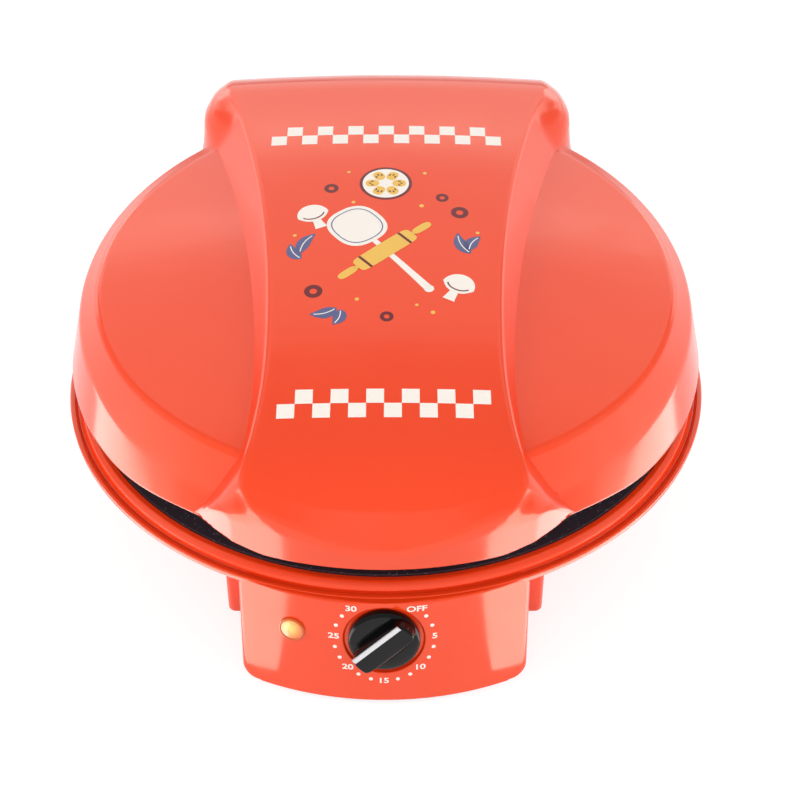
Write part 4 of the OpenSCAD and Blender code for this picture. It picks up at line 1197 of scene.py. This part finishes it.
# %% Mushrooms, olives and basil
caps, stems, gills = [], [], []
arc = np.radians(np.linspace(200, 340, 30))
gill = ribbon(np.stack([6.2 * np.cos(arc), 3.4 + 4.2 * np.sin(arc)], -1), 0.8, cols=3)
for spot, tilt in (((-37, 18), 24), ((36, -36), -28)):
    caps += placed([blob((0, 2), cap, rows=8)], spot, tilt)
    stems += placed([ribbon([(0, 0), (0, -9)], stem_width, count=16)], spot, tilt)
    gills += placed([gill], spot, tilt)
olives = [((-36, -38), 4.6), ((39, 22), 4.6), ((30, 34), 3.4), ((-29, 42), 3.8), ((1, -56), 3.4)]
olive_rings = [blob(spot, size, 0.42, rows=5, steps=48) for spot, size in olives]
leaves = [((-44, -10), 62, 17), ((-43, -14), 118, 13), ((43, -8), 60, 13), ((44, -10), 112, 17),
          ((-24, -50), 196, 14), ((-22, -51), 250, 11)]
basil, veins = [], []
for spot, tilt, long in leaves:
    basil += placed([leaf(long, 7.0)], spot, tilt)
    way = np.linspace(0.08, 0.86, 20)
    vein = np.stack([long * way, 0.12 * long * np.sin(np.pi * way)], -1)
    veins += placed([ribbon(vein, 0.55, cols=3, count=24)], spot, tilt)
crumb_places = [((-17, 30), 1.1), ((19, 27), 1.3), ((24, -53), 1.2), ((-47, 4), 1.0),
                ((48, 6), 1.0), ((-14, -44), 1.1), ((16, -48), 0.9), ((-20, 56), 1.0),
                ((21, 55), 1.1)]
crumbs = [blob(spot, size, rows=3, steps=16) for spot, size in crumb_places]
print("leaves:", len(basil), "olive rings:", len(olive_rings))

# %% Print the motif
passes = [
    ("print_peel", tools_peel, CREAM, 0.05),
    ("print_blade_line", blade_line, SLATE, 0.09),
    ("print_pin", tools_pin, YELLOW, 0.12),
    ("print_pin_bands", pin_bands, MAROON, 0.16),
    ("print_slice_skin", slice_ring, MAROON, 0.05),
    ("print_slice_flesh", slice_flesh, CREAM, 0.09),
    ("print_slice_cells", slice_cells, YELLOW, 0.13),
    ("print_seeds", seeds, MAROON, 0.17),
    ("print_stems", stems, CREAM, 0.05),
    ("print_caps", caps, CREAM, 0.08),
    ("print_gills", gills, MAROON, 0.12),
    ("print_olives", olive_rings, MAROON, 0.05),
    ("print_basil", basil, SLATE, 0.05),
    ("print_veins", veins, CREAM, 0.09),
    ("print_crumbs", crumbs, YELLOW, 0.05),
]
for name, shapes, ink_used, proud in passes:
    printed(name, shapes, on_spine, ink_used, "lid", proud)
print("passes of ink:", len(passes))

# %% [markdown]
# ## Finishes of the parts between and behind the shells
#
# The cooking plates, heaters, springs, screws and wires keep the shapes of the solids, and get the
# finish that each has in a real appliance. Each finish is one node tree on Object coordinates with
# the pattern that its making leaves: speckled baked enamel, heat colours on a tube, spangle on
# tinned sheet, a braid on glass-covered wire. Each pattern is kept to its real scale.


# %% Finish makers
def enamel(name, ground, cloud, spot):
    """Speckled non-stick: a dark clouded ground with pale flecks, baked to a satin orange peel."""
    material, tree, shader, place = new_material(name)
    base = blend_colour(tree, noise(tree, place, 55.0, 4.0), ground, cloud)
    fleck = between(tree, cells(tree, place, 620.0), 1.0, 0.0, 0.1, 0.26)
    sparse = between(tree, noise(tree, place, 410.0, 1.0), 0.0, 1.0, 0.48, 0.56)
    speckled = blend_colour(tree, combine(tree, fleck, sparse, "MULTIPLY"), base, spot)
    feed(tree, shader, speckled, between(tree, noise(tree, place, 120.0, 4.0), 0.3, 0.46, 0.3, 0.7))
    bump(tree, shader, noise(tree, place, 500.0, 2.0), 0.05, 0.4)
    return material


def matt(name, colour, other, low, high, grain, depth):
    """A dull moulding: two close tones in patches, and an even grain from mould or rubber."""
    material, tree, shader, place = new_material(name)
    tones = blend_colour(tree, noise(tree, place, 60.0, 4.0), colour, other)
    feed(tree, shader, tones, between(tree, noise(tree, place, 90.0, 3.0), low, high, 0.3, 0.7))
    bump(tree, shader, noise(tree, place, grain, 3.0, 0.6), depth, 0.6)
    return material


def spangle(name, dark, light):
    """Tinned sheet: crystals of slightly different brightness and gloss, under one fine grain."""
    material, tree, shader, place = new_material(name)
    tone = add_node(tree, "RGBToBW", {}, {0: cells(tree, place, 190.0, "Color")}).outputs[0]
    feed(tree, shader, blend_colour(tree, tone, dark, light), between(tree, tone, 0.2, 0.36))
    set_inputs(shader, {"Metallic": 1.0})
    bump(tree, shader, noise(tree, place, 1500.0, 2.0), 0.01, 0.3)
    return material


def braid(name, thread, gap):
    """Glass braid on wire: two crossing sets of threads, with a darker tone in the low places
    between them.
    """
    material, tree, shader, place = new_material(name)
    heights = []
    for angle in (42.0, -42.0):
        slanted = stretched(tree, place, (1, 1, 1), (np.radians(angle), 0.0, np.radians(angle)))
        threads = {"Scale": 420.0, "Distortion": 0.6}
        heights.append(add_node(tree, "TexWave", threads, {"Vector": slanted}).outputs["Fac"])
    weave = combine(tree, *heights, "MAXIMUM")
    feed(tree, shader, blend_colour(tree, weave, gap, thread), between(tree, weave, 0.9, 0.6))
    bump(tree, shader, weave, 0.12, 0.7)
    return material


def glass(name, tint):
    """Thin drawn glass: clear, tinted by the glow, with faint lengthwise draw lines."""
    material, tree, shader, place = new_material(name)
    lines = noise(tree, stretched(tree, place, (1, 0.05, 1)), 900.0, 2.0)
    clear = blend_colour(tree, lines, tint, rgb(255, 232, 214))
    feed(tree, shader, clear, between(tree, lines, 0.02, 0.09))
    set_inputs(shader, {"Transmission Weight": 0.9, "Emission Color": rgb(255, 120, 40),
                        "Emission Strength": 0.6})
    bump(tree, shader, lines, 0.01, 0.2)
    return material


print("finish makers:", [make.__name__ for make in (enamel, matt, spangle, braid, glass)])


# %% Finishes by node
def dress(material, *names):
    """Puts one finish on the solids that keep their own shape."""
    for name in names:
        for slot in nodes[name].material_slots:
            slot.material = material
        dressed.add(name)


dressed = set()
dress(enamel("plate_enamel", rgb(46, 38, 44), rgb(60, 51, 58), rgb(148, 138, 150)),
      "lower_plate", "upper_plate")
dress(metal("heated_tube", rgb(122, 112, 100), rgb(78, 74, 84), 0.36, (1, 1, 1), 70.0, 0.02),
      "lower_element", "upper_element")
dress(metal("spring_steel", rgb(176, 176, 174), rgb(146, 148, 152), 0.28, (1, 1, 6), 260.0),
      "lower_clips", "upper_clips")
dress(spangle("tinned_sheet", rgb(168, 170, 168), rgb(212, 213, 208)),
      "lower_shield", "upper_shield", "timer_case")
dress(metal("zinc_screws", rgb(188, 190, 186), rgb(158, 162, 170), 0.3, (1, 1, 1), 500.0),
      "lower_screws", "upper_screws", "cover_screws", "timer_screws", "bracket_screws")
dress(matt("phenolic_black", rgb(24, 22, 22), rgb(16, 15, 16), 0.4, 0.55, 700.0, 0.02),
      "lower_thermostat", "upper_thermostat", "lens_collar")
dress(metal("fuse_case", rgb(214, 190, 132), rgb(182, 158, 108), 0.26, (1, 1, 1), 300.0),
      "thermal_fuse")
dress(matt("cover_black", rgb(24, 24, 25), rgb(17, 17, 18), 0.5, 0.66, 1300.0, 0.06),
      "bottom_cover", "cord_gland")
dress(matt("foot_rubber", rgb(30, 30, 31), rgb(22, 22, 22), 0.78, 0.92, 900.0, 0.03),
      "rubber_feet")
dress(metal("bell_brass", rgb(226, 186, 104), rgb(204, 160, 82), 0.16, (1, 8, 1), 120.0),
      "timer_bell")
dress(matt("ivory_nylon", rgb(226, 219, 192), rgb(214, 205, 174), 0.36, 0.5, 600.0, 0.02),
      "terminal_block")
dress(braid("glass_braid", rgb(234, 231, 218), rgb(164, 158, 142)),
      "supply_wires", "crossing_wires", "lid_wires")
dress(metal("ground_steel", rgb(196, 197, 198), rgb(166, 168, 172), 0.18, (1, 1, 12), 300.0),
      "hinge_pins", "timer_shaft")
dress(glass("neon_glass", rgb(255, 170, 110)), "neon_lamp")
dress(RED, "hinge_brackets", "hinge_arms")
print("solids with a finish of their own:", len(dressed))

# %% [markdown]
# ## Floor, world and lamps
#
# The object stands on a plain pale floor under large soft boxes. A camera ray that meets the world
# or the floor sees white, and so do mirror and glass rays near the horizon, while the light on the
# object stays at a level at which a colour looks as it is written. Overhead, mirror rays meet a
# dimmer ceiling, so that gloss shows shape and doesn't veil the colour. The floor keeps the shadow.


# %% Floor and world
def seen_directly(tree):
    """1 for camera, mirror and glass rays, 0 for the light that falls on things."""
    path = tree.nodes.new("ShaderNodeLightPath").outputs
    return combine(tree, combine(tree, path["Is Camera Ray"], path["Is Glossy Ray"]),
                  path["Is Transmission Ray"])


FLOOR, floor_tree, floor_shader, _ = new_material("studio_floor")
WHITE = (1.0, 1.0, 1.0, 1.0)
set_inputs(floor_shader, {"Base Color": rgb(178, 178, 178), "Specular IOR Level": 0.0,
                          "Emission Color": WHITE})
glow = between(floor_tree, seen_directly(floor_tree), 0.0, 0.72)
floor_tree.links.new(glow, floor_shader.inputs["Emission Strength"])
across = np.linspace(-4000, 4000, 9)
floor = surface("floor", points_of(across[:, None], across, 0.0), FLOOR)

world = bpy.data.worlds.new("studio")
bpy.context.scene.world = world
world.use_nodes = True
sky = world.node_tree
backdrop = sky.nodes["Background"]
gaze = sky.nodes.new("ShaderNodeTexCoord").outputs["Generated"]
direction = add_node(sky, "SeparateXYZ", {}, {0: gaze})
low_sky = between(sky, direction.outputs["Z"], 1.0, 0.0, -0.02, 0.12)
rays = sky.nodes.new("ShaderNodeLightPath").outputs
bright = combine(sky, combine(sky, rays["Is Glossy Ray"], low_sky, "MULTIPLY"),
                combine(sky, rays["Is Camera Ray"], rays["Is Transmission Ray"]))
sky.links.new(between(sky, bright, 0.5, 1.0), backdrop.inputs["Strength"])
set_inputs(backdrop, {"Color": WHITE})
print("floor size in mm:", across[-1] - across[0])


# %% Soft boxes
def soft_box(name, place, target, size, power, in_gloss=True, on_matt=True, spin=0.0):
    """A rectangular area lamp at place, aimed at target, both in mm. It can be kept out of mirror
    images, or light them alone, the way a studio card does. spin turns it about Z in degrees."""
    data = bpy.data.lights.new(name, "AREA")
    data.shape = "RECTANGLE"
    data.size, data.size_y = size[0] * MM, size[1] * MM
    data.energy = power
    lamp = bpy.data.objects.new(name, data)
    lamp.location = [v * MM for v in place]
    away = Vector([p - t for p, t in zip(place, target)])
    aim = away.to_track_quat("Z", "Y").to_euler()
    aim.rotate(Euler((0.0, 0.0, np.radians(spin))))
    lamp.rotation_euler = aim
    lamp.visible_camera = False
    lamp.visible_glossy = in_gloss
    lamp.visible_diffuse = on_matt
    bpy.context.scene.collection.objects.link(lamp)
    return lamp


soft_box("box_left", (-1150, -250, 480), (0, -20, 90), (600, 1100), 7.0, in_gloss=False)
soft_box("box_right", (1150, -250, 480), (0, -20, 90), (600, 1100), 6.0, in_gloss=False)
soft_box("box_rear", (0, 1500, 760), (0, 60, 130), (2600, 800), 6.0)
soft_box("box_rear_high", (0, 1350, 1500), (0, 60, 130), (2600, 900), 4.0)
soft_box("box_front", (0, -1700, 500), (0, 0, 60), (2200, 900), 15.0, in_gloss=False)
for side, power in ((-1, 2.3), (1, 2.5)):
    name = "left" if side < 0 else "right"
    soft_box(f"card_{name}", (side * 388, -276, 3), (side * 388, -276, 100), (420, 530), power,
             on_matt=False, spin=side * 36)
    soft_box(f"card_rear_{name}", (side * 1000, 1150, 380), (0, 100, 120), (800, 520), 1.5,
             on_matt=False)
print("lamps:", len(bpy.data.lights))
